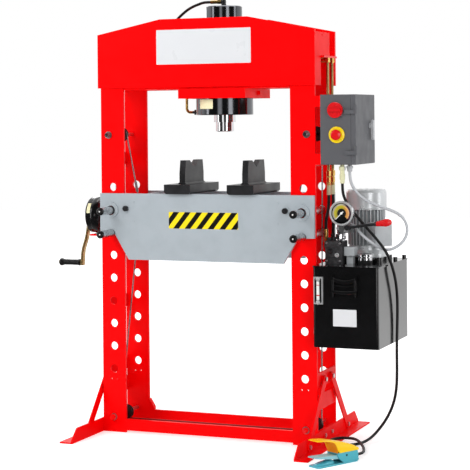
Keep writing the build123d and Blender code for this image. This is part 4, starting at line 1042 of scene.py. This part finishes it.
@dataclass
class WinchDress:
    """Finishes of the winch, its crank and the ropes, and the cover's domed face, rim and bare label."""

    axis: tuple[float, float] = (-34.0, 950.0)
    cover_radius: float = 80.0
    # Height below which the rope shows painted shade and painted red reflection.
    painted_shade_below: float = 52
    label_turn: tuple[float, float] = (8, 42)
    label_steps: int = 14
    dome: Profile = (
        (80.3, -583), (79.4, -587.5), (75, -591), (64, -594.6), (48, -597.4), (32, -598.9), (17, -599.5),
        (16, -598), (16, -592), (74, -592), (80.1, -586), (80.3, -583))
    band: Profile = ((80.1, -563), (83.2, -562.4), (83.6, -561), (83.6, -518), (80.1, -517.4), (80.1, -563))

    def build(self, surfaces: Surfaces, frame: dict[str, Any]) -> None:
        """Dresses the nodes and adds the cover's forms; the label is a piece of a tube.

        Args:
            surfaces: Maker of the materials.
            frame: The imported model.
        """
        for node, finish in (
            ("winch_cover", BLACK_ENAMEL), ("winch_drum", ZINC), ("winch_crank", YELLOW_ZINC),
            ("crank_grip", BLACK_ABS),
        ):
            dress(frame, node, surfaces.of(finish))
        # Painted shade and painted reflection: the rope's low run is dark red.
        low_run = (Region(ALL_LOW, (BIG, BIG, self.painted_shade_below), ROPE_PAINTED_SHADE),)
        dress(frame, "steel_cables", surfaces.of(STEEL_ROPE, low_run, "rope_with_painted_shade_run"))
        enamel = surfaces.of(BLACK_ENAMEL)
        for word, profile in (("dome", self.dome), ("band", self.band)):
            form = turned_piece(f"winch_cover_{word}", profile, "x", *self.axis, enamel, 96)
            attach(form, "frame")
        angle = np.radians(np.linspace(*self.label_turn, self.label_steps))[:, None]
        reach = self.cover_radius + np.array([0.1, 0.5, 0.5, 0.1])
        along = np.broadcast_to(np.array([-582.0, -582.0, -566.0, -566.0]), (self.label_steps, 4))
        y, z = self.axis
        rings = np.stack([along, y - reach * np.cos(angle), z + reach * np.sin(angle)], -1)
        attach(lofted("winch_label", rings, surfaces.of(CREAM_FILM)), "frame")


@dataclass
class BoxDress:
    """Finishes of the switch box, its door and its buttons."""

    grey_gland_from: float = 618

    def build(self, surfaces: Surfaces, frame: dict[str, Any]) -> None:
        """Dresses the nodes.

        Args:
            surfaces: Maker of the materials.
            frame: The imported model.
        """
        for node, finish in (
            ("control_box", BOX_POWDER), ("box_door", BOX_POWDER), ("door_handle", GREY_NYLON),
            ("rotary_switch", RED_ABS), ("emergency_stop", RED_ABS), ("stop_collar", YELLOW_ABS),
        ):
            dress(frame, node, surfaces.of(finish))
        grey_gland = (Region((self.grey_gland_from, -BIG, -BIG), ALL_HIGH, GREY_NYLON),)
        dress(frame, "cable_glands", surfaces.of(CREAM_NYLON, grey_gland, "nylon_glands"))


@dataclass
class TankDress:
    """Oil tank with its filler cap, drop handle, sight glass and bare label."""

    face_y: float = -191.0
    pivot_z: float = 716.0
    legs: tuple[float, float] = (597.0, 693.0)
    glass_x: float = 531.5
    cap_axis: tuple[float, float] = (686.0, -36.0)
    cap_seat: float = 764.0
    cap_seal: Profile = (
        (24.6, 0.6), (29.4, 0.6), (29.8, 2), (29.8, 12), (28, 13), (24.6, 13), (24.6, 0.6))
    cap_skirt: Profile = (
        (24.6, 13), (30.2, 13.2), (31, 14.2), (31, 17.4), (30.2, 18.2), (31, 19), (31, 23.6), (30, 24.8),
        (25.4, 25.4), (25.4, 28.6), (0, 28.6), (0, 15), (24.6, 15), (24.6, 13))
    cap_top: Profile = (
        (0, 28.6), (29.2, 28.8), (30.4, 30), (30.4, 37.4), (29.4, 39.2), (26, 41.4), (19, 43.6), (10, 44.8),
        (0, 45.2))

    def build(self, surfaces: Surfaces, frame: dict[str, Any]) -> None:
        """Dresses the nodes and adds filler cap, label, handle and sight glass.

        Args:
            surfaces: Maker of the materials.
            frame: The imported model.
        """
        glass_frame = (Region((508, -BIG, 600), (556, self.face_y - 0.2, 725), SATIN_ALUMINIUM),)
        dress(frame, "tank", surfaces.of(BLACK_ENAMEL, glass_frame, "tank_enamel_with_frame"))
        dress(frame, "tank_lid", surfaces.of(BLACK_ENAMEL))
        self._filler_cap(surfaces)
        label = rounded_sheet(
            "tank_label", (593, self.face_y, 517), (101, 0, 0), (0, 0, 70), (0, -0.4, 0), 1.5,
            surfaces.of(WHITE_FILM))
        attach(label, "frame")
        self._handle(surfaces.of(GLOSS_GRIP))
        self._sight_glass(surfaces)

    def _filler_cap(self, surfaces: Surfaces) -> None:
        """Breather cap: dark seal, grooved chrome skirt, waist and a low crowned top, turned about its axis.

        Args:
            surfaces: Maker of the materials.
        """
        for name, profile, finish in (
            ("seal", self.cap_seal, BLACK_RUBBER), ("skirt", self.cap_skirt, CHROME),
            ("top", self.cap_top, CHROME),
        ):
            raised = [(radius, height + self.cap_seat) for radius, height in profile]
            piece = turned_piece(f"filler_cap_{name}", raised, "z", *self.cap_axis, surfaces.of(finish), 64)
            piece.data.set_sharp_from_angle(angle=math.radians(SHARP_EDGE))
            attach(piece, "filler_cap")
            if name == "top":
                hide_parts("filler_cap")

    def _handle(self, grip: Material) -> None:
        """Moulded drop handle: two legs, a sagging strap at its top and a grip at its foot.

        The strap and the grip sag as a parabola between the legs. The legs thin out
        towards both ends with the cube of the distance from their middle.

        Args:
            grip: Finish of the handle.
        """
        left, right = self.legs
        pieces = []
        steps = 16
        for side, x in (("left", left), ("right", right)):
            z = np.linspace(self.pivot_z + 5, 638, steps)
            path = np.stack([np.full(steps, x), np.full(steps, -200.5), z], 1)
            wide = 4.6 - 1.2 * np.abs(np.linspace(-1, 1, steps)) ** 3
            pieces.append(swept_bar(f"carry_handle_leg_{side}", path, wide, 4.4, (0, -1, 0), grip, power=4.0))
        x = np.linspace(left - 4, right + 4, 25)
        curve = 1 - ((x - (left + right) / 2) / ((right - left) / 2 + 4)) ** 2
        for name, top, sag, across, depth in (
            ("strap", 713.0, 13.0, 7.5, 3.0), ("grip", 661.0, 4.0, 7.0, 5.4), ("lip", 688.0, 5.0, 3.2, 2.4),
        ):
            path = np.stack([x, -201.0 - 1.5 * curve, top - sag * curve], 1)
            pieces.append(swept_bar(f"carry_handle_{name}", path, across, depth, (0, -1, 0), grip, power=2.6))
        for piece in pieces:
            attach(piece, "carry_handle")
        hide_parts("carry_handle")

    def _sight_glass(self, surfaces: Surfaces) -> None:
        """Dark field, clear tube with two level marks, and the frame's domed bolts.

        Args:
            surfaces: Maker of the materials.
        """
        x, y = self.glass_x, self.face_y
        print_black = surfaces.of(DIAL_BLACK)
        dark_field = rounded_sheet(
            "sight_field", (516.5, y - 9, 611), (30, 0, 0), (0, 0, 103), (0, -0.7, 0), 6, print_black)
        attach(dark_field, "frame")
        steps = 12
        path = np.stack([np.full(steps, x), np.full(steps, y - 9.6), np.linspace(624, 701, steps)], 1)
        marks = tuple(
            Region((-BIG, -BIG, low), (BIG, BIG, high), RED_ABS) for low, high in ((641, 645.5), (684, 687)))
        clear = surfaces.of(CLEAR_TUBE, marks, "tube_with_marks")
        tube = swept_bar("sight_tube", path, 6.4, 4.6, (0, -1, 0), clear)
        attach(tube, "frame")
        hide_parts("sight_glass")
        dome = [(0, y - 9), (9, y - 9), (9, y - 12), (7.6, y - 13.8), (4, y - 14.8), (0, y - 15)]
        for word, height in (("lower", 614.0), ("upper", 711.0)):
            bolt = turned_piece(f"sight_bolt_{word}", dome, "y", x, height, surfaces.of(SATIN_ALUMINIUM), 32)
            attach(bolt, "frame")


@dataclass
class MotorDress:
    """Motor with painted shade in the valleys between its fins, fan cover with its bead, and terminal box."""

    axis: tuple[float, float] = (655.0, 89.0)
    # A grey cylinder just outside the motor's core: painted shade between the fins.
    valleys: Profile = ((72.05, 834), (73.2, 836), (73.2, 981), (72.05, 983), (72.05, 834))
    bead: Profile = ((86.0, 987), (86.9, 988), (87.2, 990), (86.9, 992), (86.0, 993), (86.0, 987))

    def build(self, surfaces: Surfaces, frame: dict[str, Any]) -> None:
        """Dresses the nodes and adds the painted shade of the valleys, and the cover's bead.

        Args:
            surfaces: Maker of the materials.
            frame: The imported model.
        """
        for node, finish in (
            ("motor_body", SILVER_PAINT), ("fan_cover", SILVER_PAINT), ("motor_rotor", BLACK_ABS),
            ("terminal_box", GREY_PAINT),
        ):
            dress(frame, node, surfaces.of(finish))
        for name, profile, finish in (
            ("fin_valleys", self.valleys, VALLEY_PAINTED_SHADE), ("fan_cover_bead", self.bead, SILVER_PAINT),
        ):
            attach(turned_piece(name, profile, "z", *self.axis, surfaces.of(finish), 96), "frame")


@dataclass
class ValveDress:
    """Cast valve with its screws and plugs, lever and pressure gauge."""

    gauge: Point = (605.0, -108.0, 977.0)
    block_front: float = -86.0
    coupling: tuple[float, float] = (582.0, -71.0)
    knob_from: float = 752
    dial_radius: float = 44
    ring_edges: tuple[float, ...] = (0.0, 0.44, 0.56, 0.66, 0.76, 0.92)
    left_ring: tuple[str, ...] = ("0E0E0F", "A39A20", "B9AC28", "CDBB36", "C9C4AE", "23282A")
    right_ring: tuple[str, ...] = ("0E0E0F", "D98A3A", "E09A48", "F0B878", "54304E", "2B2627")

    def build(self, surfaces: Surfaces, frame: dict[str, Any]) -> None:
        """Dresses the nodes and adds screws, plugs, dial and bezel.

        Args:
            surfaces: Maker of the materials.
            frame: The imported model.
        """
        dress(frame, "valve_block", surfaces.of(CAST_VALVE, (
            Region((500, -60, 848), (524.9, 0, 906), BRASS),
            Region((584, -BIG, 858.1), (650, -46, 930), ZINC),
            Region((604, -BIG, 764), (650, -20, 836), GREY_PAINT),
        ), "valve_iron_with_unions"))
        knob = (Region((self.knob_from, -BIG, -BIG), ALL_HIGH, RED_ABS),)
        dress(frame, "valve_lever", surfaces.of(BLACK_OXIDE, knob, "lever_with_red_knob"))
        dress(frame, "gauge_case", surfaces.of(CHROME))
        dress(frame, "gauge_needle", surfaces.of(WHITE_LACQUER))
        self._screws(surfaces)
        self._coupling(surfaces)
        self._gauge_face(surfaces)

    def _screws(self, surfaces: Surfaces) -> None:
        """Socket screws, port plugs and two cast ribs on the front of the cast block.

        Args:
            surfaces: Maker of the materials.
        """
        y = self.block_front
        for count, (x, z, radius, finish) in enumerate((
            (533.5, 850.0, 4.6, ZINC), (591.5, 850.0, 4.6, ZINC),
            (533.5, 776.0, 4.6, ZINC), (591.5, 776.0, 4.6, ZINC),
            (549.0, 817.0, 12.5, BLACK_OXIDE), (578.0, 800.0, 9.5, SATIN_ALUMINIUM),
        )):
            head = [
                (0, y + 0.5), (radius, y + 0.5), (radius, y - 3.4), (radius - 0.8, y - 4.2),
                (radius * 0.52, y - 4.2), (radius * 0.5, y - 1.8), (0, y - 1.8)]
            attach(turned_piece(f"valve_screw_{count}", head, "y", x, z, surfaces.of(finish), 32), "frame")
        x = np.array([526.0, 540.0, 562.0, 585.0, 599.0])
        iron = surfaces.of(CAST_VALVE)
        for count, z in enumerate((792.0, 834.0)):
            path = np.stack([x, np.full(5, y - 0.4), np.full(5, z)], 1)
            rib = swept_bar(f"valve_cast_rib_{count}", path, 2.4, 1.8, (0, -1, 0), iron, power=3.0)
            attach(rib, "frame")

    def _coupling(self, surfaces: Surfaces) -> None:
        """Stem under the gauge with hexagon nuts, each a profile turned in six steps.

        Args:
            surfaces: Maker of the materials.
        """
        chrome = surfaces.of(CHROME)
        nut = [(0, 866), (12.6, 866), (14.2, 868), (14.2, 877), (12.6, 879), (0, 879)]
        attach(turned_piece("gauge_stem_nut", nut, "z", 596.0, -60.0, chrome, 6), "frame")
        stem = [(0, 858.2), (8, 858.2), (8, 866), (7, 867), (7, 892), (8.4, 893), (8.4, 931), (0, 931)]
        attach(turned_piece("gauge_coupling_stem", stem, "z", *self.coupling, chrome, 40), "frame")
        for word, low, tall, radius, finish in (
            ("lower", 867.0, 22.0, 14.4, CHROME), ("upper", 905.0, 12.0, 11.4, SATIN_ALUMINIUM),
        ):
            nut = [
                (0, low), (radius - 1.6, low), (radius, low + 1.8), (radius, low + tall - 1.8),
                (radius - 1.6, low + tall), (0, low + tall)]
            hexagon = turned_piece(
                f"gauge_coupling_nut_{word}", nut, "z", *self.coupling, surfaces.of(finish), 6)
            hexagon.data.set_sharp_from_angle(angle=math.radians(30))
            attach(hexagon, "frame")

    def _gauge_face(self, surfaces: Surfaces) -> None:
        """Printed dial and the half-round bezel in front of the case.

        Args:
            surfaces: Maker of the materials.
        """
        x, y, z = self.gauge
        dial = [(0, y + 6.2), (43.8, y + 6.2), (43.8, y + 5.4), (0, y + 5.4)]
        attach(turned_piece("gauge_dial", dial, "y", x, z, self._dial()), "frame")
        turn = np.linspace(0, math.pi, 13)
        crest = [(float(47.6 - 4.4 * math.cos(a)), float(y + 0.4 - 3.6 * math.sin(a))) for a in turn]
        bezel = turned_piece("gauge_bezel", [*crest, crest[0]], "y", x, z, surfaces.of(SATIN_ALUMINIUM), 96)
        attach(bezel, "frame")

    def _dial(self) -> Material:
        """Printed dial: black centre, and an olive ring that is open below and orange on the right.

        The share of the dial's radius picks a ring's colour, the distance to the right
        blends from one set of rings to the other, and below the centre, where the fall
        is more than the lean to a side, all of it is black.

        Returns:
            The material.
        """
        material = bpy.data.materials.new("printed_dial")
        material.use_nodes = True
        tree = material.node_tree
        shader = tree.nodes["Principled BSDF"]
        centre = tuple(place(*self.gauge))
        where = add_node(tree, "ShaderNodeTexCoord").outputs["Object"]
        away = add_node(tree, "ShaderNodeVectorMath", {0: where, 1: centre}, operation="SUBTRACT").outputs[0]
        flat = add_node(tree, "ShaderNodeVectorMath", {0: away, 1: (1, 0, 1)}, operation="MULTIPLY")
        reach = add_node(tree, "ShaderNodeVectorMath", {0: flat.outputs[0]}, operation="LENGTH")
        radii = {0: reach.outputs["Value"], 1: 1000 / self.dial_radius}
        share = add_node(tree, "ShaderNodeMath", radii, operation="MULTIPLY")
        ramps = []
        for ring in (self.left_ring, self.right_ring):
            ramp = add_node(tree, "ShaderNodeValToRGB", {"Fac": share.outputs[0]})
            stops = ramp.color_ramp
            stops.interpolation = "CONSTANT"
            stops.elements[0].color = linear(ring[0])
            stops.elements[1].position = self.ring_edges[1]
            stops.elements[1].color = linear(ring[1])
            for spot, code in zip(self.ring_edges[2:], ring[2:]):
                stops.elements.new(spot).color = linear(code)
            ramps.append(ramp.outputs["Color"])
        axes = add_node(tree, "ShaderNodeSeparateXYZ", {0: away})
        right = add_node(
            tree, "ShaderNodeMapRange", {"Value": axes.outputs["X"], "From Min": 0.004, "From Max": 0.022})
        rings = {0: right.outputs["Result"], 6: ramps[0], 7: ramps[1]}
        paint = add_node(tree, "ShaderNodeMix", rings, data_type="RGBA").outputs[2]
        lean = add_node(tree, "ShaderNodeMath", {0: axes.outputs["X"]}, operation="ABSOLUTE")
        fall = add_node(tree, "ShaderNodeMath", {0: axes.outputs["Z"], 1: -1.05}, operation="MULTIPLY")
        below = {0: fall.outputs[0], 1: lean.outputs[0]}
        gap = add_node(tree, "ShaderNodeMath", below, operation="GREATER_THAN").outputs[0]
        black = linear(self.left_ring[0])
        open_ring = add_node(tree, "ShaderNodeMix", {0: gap, 6: paint, 7: black}, data_type="RGBA")
        tree.links.new(open_ring.outputs[2], shader.inputs["Base Color"])
        shader.inputs["Roughness"].default_value = 0.4
        return material


def on_switch(points: np.ndarray) -> np.ndarray:
    """Drawing positions of points given along, across and above the foot switch.

    Args:
        points: Array whose last axis holds the three distances in millimetres.

    Returns:
        The positions in drawing millimetres.
    """
    along, across, up = points[..., 0], points[..., 1], points[..., 2]
    ahead_x, ahead_y = PEDAL_AHEAD
    x = PEDAL_NEAR[0] + along * ahead_x - across * ahead_y
    y = PEDAL_NEAR[1] + along * ahead_y + across * ahead_x
    return np.stack([x, y, up + 0 * along], -1)


def eased(profile: Profile, at: np.ndarray) -> np.ndarray:
    """Profile read at even stations and rounded by a running mean over seven of them.

    Args:
        profile: Stations and heights in millimetres.
        at: Even stations to read it at.

    Returns:
        The rounded heights.
    """
    spots, values = np.array(profile).T
    read = np.interp(at, spots, values)
    span = 7
    return np.convolve(np.pad(read, span // 2, mode="edge"), np.ones(span) / span, mode="valid")


@dataclass
class PedalDress:
    """Foot switch: cast base, grooved tread and moulded guard, measured along, across and above its base."""

    front: float = -14.0
    rear: float = 206.0
    near: float = -46.0
    far: float = 20.0
    pivot: tuple[float, float] = (140.0, 33.0)
    guard_top: Profile = (
        (-14, 107.6), (10, 107.4), (50, 103.5), (90, 95.5), (130, 86), (169, 74), (196, 63), (206, 55))
    guard_rim: Profile = (
        (-14, 104.6), (20, 103), (50, 97.5), (70, 91.5), (82, 82), (90, 62), (95, 46), (206, 46))
    wall_line: Profile = ((44, 99.8), (56, 97.4), (66, 94), (76, 88), (84, 79), (89, 68), (92, 56), (93, 46))
    tread_top: Profile = ((-20, 42.5), (0, 41), (30, 40), (60, 39.2), (90, 38.2), (116, 37.5), (132, 36))

    def build(self, surfaces: Surfaces, frame: dict[str, Any]) -> None:
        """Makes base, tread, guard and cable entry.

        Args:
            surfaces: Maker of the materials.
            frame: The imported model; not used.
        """
        self._base(surfaces.of(TEAL_CAST), surfaces)
        self._tread(surfaces.of(PALE_TEAL))
        self._guard(surfaces)

    def _side_shape(self, name: str, outline: Profile, low: float, high: float, material: Material) -> Piece:
        """Flat shape seen from the side, carried across the switch.

        Args:
            name: Name of the piece.
            outline: Distances along and above, in order round the shape.
            low: Where it starts across the switch.
            high: Where it ends.
            material: Its finish.

        Returns:
            The new object.
        """
        shape = np.array(outline, float)
        count = len(shape)
        sides = [np.column_stack([shape[:, 0], np.full(count, across), shape[:, 1]]) for across in (low, high)]
        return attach(lofted(name, on_switch(np.stack(sides)), material, smooth=False), "frame")

    def _base(self, teal: Material, surfaces: Surfaces) -> None:
        """Plate, low dome under the tread, two cheeks, bridge, rear wall, pivot pin and cable entry.

        The dome is a superellipse drawn in towards its top by (1 - t^3)^(1/3).

        Args:
            teal: Finish of the casting.
            surfaces: Maker of the other finishes.
        """
        ahead_x, ahead_y = PEDAL_AHEAD
        long, wide = self.rear + 2 - self.front, self.far - self.near
        corner = tuple(on_switch(np.array([self.front, self.near, 0.0])))
        plate = rounded_sheet(
            "pedal_plate", corner, (long * ahead_x, long * ahead_y, 0), (-wide * ahead_y, wide * ahead_x, 0),
            (0, 0, 6), 13, teal)
        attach(plate, "frame")
        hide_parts("pedal_base")
        level = np.linspace(0, 1, 12)[:, None]
        drawn = np.maximum((1 - level**3) ** (1 / 3), 0.02)
        x, y = superellipse(48, 3.2)
        along = 44 + 48 * drawn * x
        up = 5.5 + 12.5 * level + 0.13 * (along - 44) * level
        rings = np.stack([along, -12 + 21.5 * drawn * y, up], -1)
        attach(lofted("pedal_dome", on_switch(rings), teal), "frame")
        cheek = (
            (128, 5.5), (114, 12), (104, 20), (97, 28), (93, 36), (93, 46.5), (200, 46.5), (204, 30),
            (205, 5.5))
        bridge = ((93, 40.6), (93, 46.4), (203, 46.4), (203, 43.6), (99, 43.6), (99, 40.6))
        rear_wall = ((198, 5.5), (198, 44), (203.5, 44), (204.5, 5.5))
        ledge = ((160, 5.5), (164, 11), (206, 11), (207, 5.5))
        for name, outline, low, high in (
            ("cheek_near", cheek, self.near + 1.5, self.near + 7),
            ("cheek_far", cheek, self.far - 6, self.far - 1.5),
            ("bridge", bridge, self.near + 6.5, self.far - 5.5),
            ("rear_wall", rear_wall, self.near + 6.5, self.far - 5.5),
            ("ledge", ledge, self.near + 0.5, self.far - 0.5),
        ):
            self._side_shape(f"pedal_{name}", outline, low, high, teal)
        stations = (-46.4, -45.6, 19.6, 20.4)
        pin = on_switch(np.array([[self.pivot[0], across, self.pivot[1]] for across in stations]))
        size = [3.4, 4.2, 4.2, 3.4]
        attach(swept_bar("pedal_pivot_pin", pin, size, size, (0, 0, 1), surfaces.of(BLACK_OXIDE)), "frame")
        entry = on_switch(np.array([[along, 0.0, 14.0] for along in (202, 208, 209, 218, 230, 244)]))
        size = [10, 10, 8.6, 8.2, 7.4, 6.5]
        relief = swept_bar("pedal_cable_relief", entry, size, size, (0, 0, 1), surfaces.of(BLACK_RUBBER))
        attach(relief, "frame")

    def _tread(self, paint: Material) -> None:
        """Channel-shaped tread with cross grooves, and its pivot boss.

        Its top follows the profile with a ripple of half a millimetre every 7 mm, and
        its skirts grow from 4 mm deep at the toe to 16 mm near the pivot.

        Args:
            paint: Its finish.
        """
        along = np.arange(-20.0, 132.1, 1.4)
        top = eased(self.tread_top, along)
        ripple = np.where((along > -12) & (along < 88), 0.5 * np.cos(along * 2 * math.pi / 7), 0.0)
        skirt = np.interp(along, (-20, 100, 132), (4.0, 16.5, 6.0))
        draw = 5.0 * np.clip((-10 - along) / 10, 0, 1) ** 2
        near, far = -38 + draw, 14 - draw
        across = np.stack([near, near, far, far, far - 3, far - 3, near + 3, near + 3], 1)
        foot, under = top - skirt, top - 3.5
        up = np.stack([foot, top + ripple, top + ripple, foot, foot, under, under, foot], 1)
        rings = np.stack([np.broadcast_to(along[:, None], across.shape), across, up], -1)
        tread = lofted("pedal_tread_plate", on_switch(rings), paint)
        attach(tread, "pedal_tread")
        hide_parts("pedal_tread")
        across_boss = (-37.0, -20.0, 0.0, 12.5)
        boss = on_switch(np.array([[self.pivot[0], across, self.pivot[1]] for across in across_boss]))
        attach(swept_bar("pedal_tread_boss", boss, 8.5, 8.5, (0, 0, 1), paint), "pedal_tread")

    def _guard(self, surfaces: Surfaces) -> None:
        """Moulded guard: an arch from the visor's tip to the rear, and the curved wall under the visor.

        Each section is half a superellipse from the near rim over the top to the far
        rim, with the same inside it 3 mm in.

        Args:
            surfaces: Maker of the materials.
        """
        along = np.linspace(self.front, self.rear, 90)
        top, rim = eased(self.guard_top, along), eased(self.guard_rim, along)
        turn = np.linspace(0, math.pi, 25)
        x, z = np.sign(np.cos(turn)) * np.abs(np.cos(turn)) ** 0.45, np.sin(turn) ** 0.45
        middle, half = (self.near + self.far) / 2, (self.far - self.near) / 2
        draw = 1 - 0.22 * np.clip((8 - along) / 22, 0, 1) ** 2
        outer_up = rim[:, None] + (top - rim)[:, None] * z
        inner_up = rim[:, None] + np.maximum((top - rim - 3.0)[:, None], 0.5) * z
        outer_half = half * draw[:, None]
        outer, inner = (
            np.stack([np.broadcast_to(along[:, None], up.shape), middle - width * x, up], -1)
            for width, up in ((outer_half, outer_up), (outer_half - 3, inner_up)))
        rings = np.concatenate([outer, inner[:, ::-1]], 1)
        guard = lofted("pedal_guard", on_switch(rings), surfaces.of(AMBER_ABS))
        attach(guard, "frame")
        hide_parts("pedal_hood")
        wall = np.array(self.wall_line, float)
        path = on_switch(np.column_stack([wall[:, 0], np.full(len(wall), middle), wall[:, 1]]))
        face = (-PEDAL_AHEAD[0], -PEDAL_AHEAD[1], 0.0)
        # Painted shade and painted reflection: the wall's orange stands for its shade and the frame's red.
        front = swept_bar(
            "pedal_guard_wall", path, half - 2.5, 1.3, face, surfaces.of(GUARD_WALL_PAINTED_SHADE), power=8.0, count=32)
        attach(front, "frame")


def main() -> None:
    """Builds the whole scene in order."""
    logging.basicConfig(level=logging.INFO, format="%(name)s: %(message)s")
    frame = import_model()
    surfaces = Surfaces()
    Camera().build()
    Studio().build()
    Cables().build(surfaces)
    for part in (
        FrameDress(), CylinderDress(), BedDress(), WinchDress(), BoxDress(), TankDress(), MotorDress(),
        ValveDress(), PedalDress(),
    ):
        before = set(bpy.data.objects.keys())
        part.build(surfaces, frame)
        for name in sorted(set(bpy.data.objects.keys()) - before):
            log.info("%s: %s", type(part).__name__, name)
        log.info("%s is dressed", type(part).__name__)


if __name__ == "__main__":
    main()
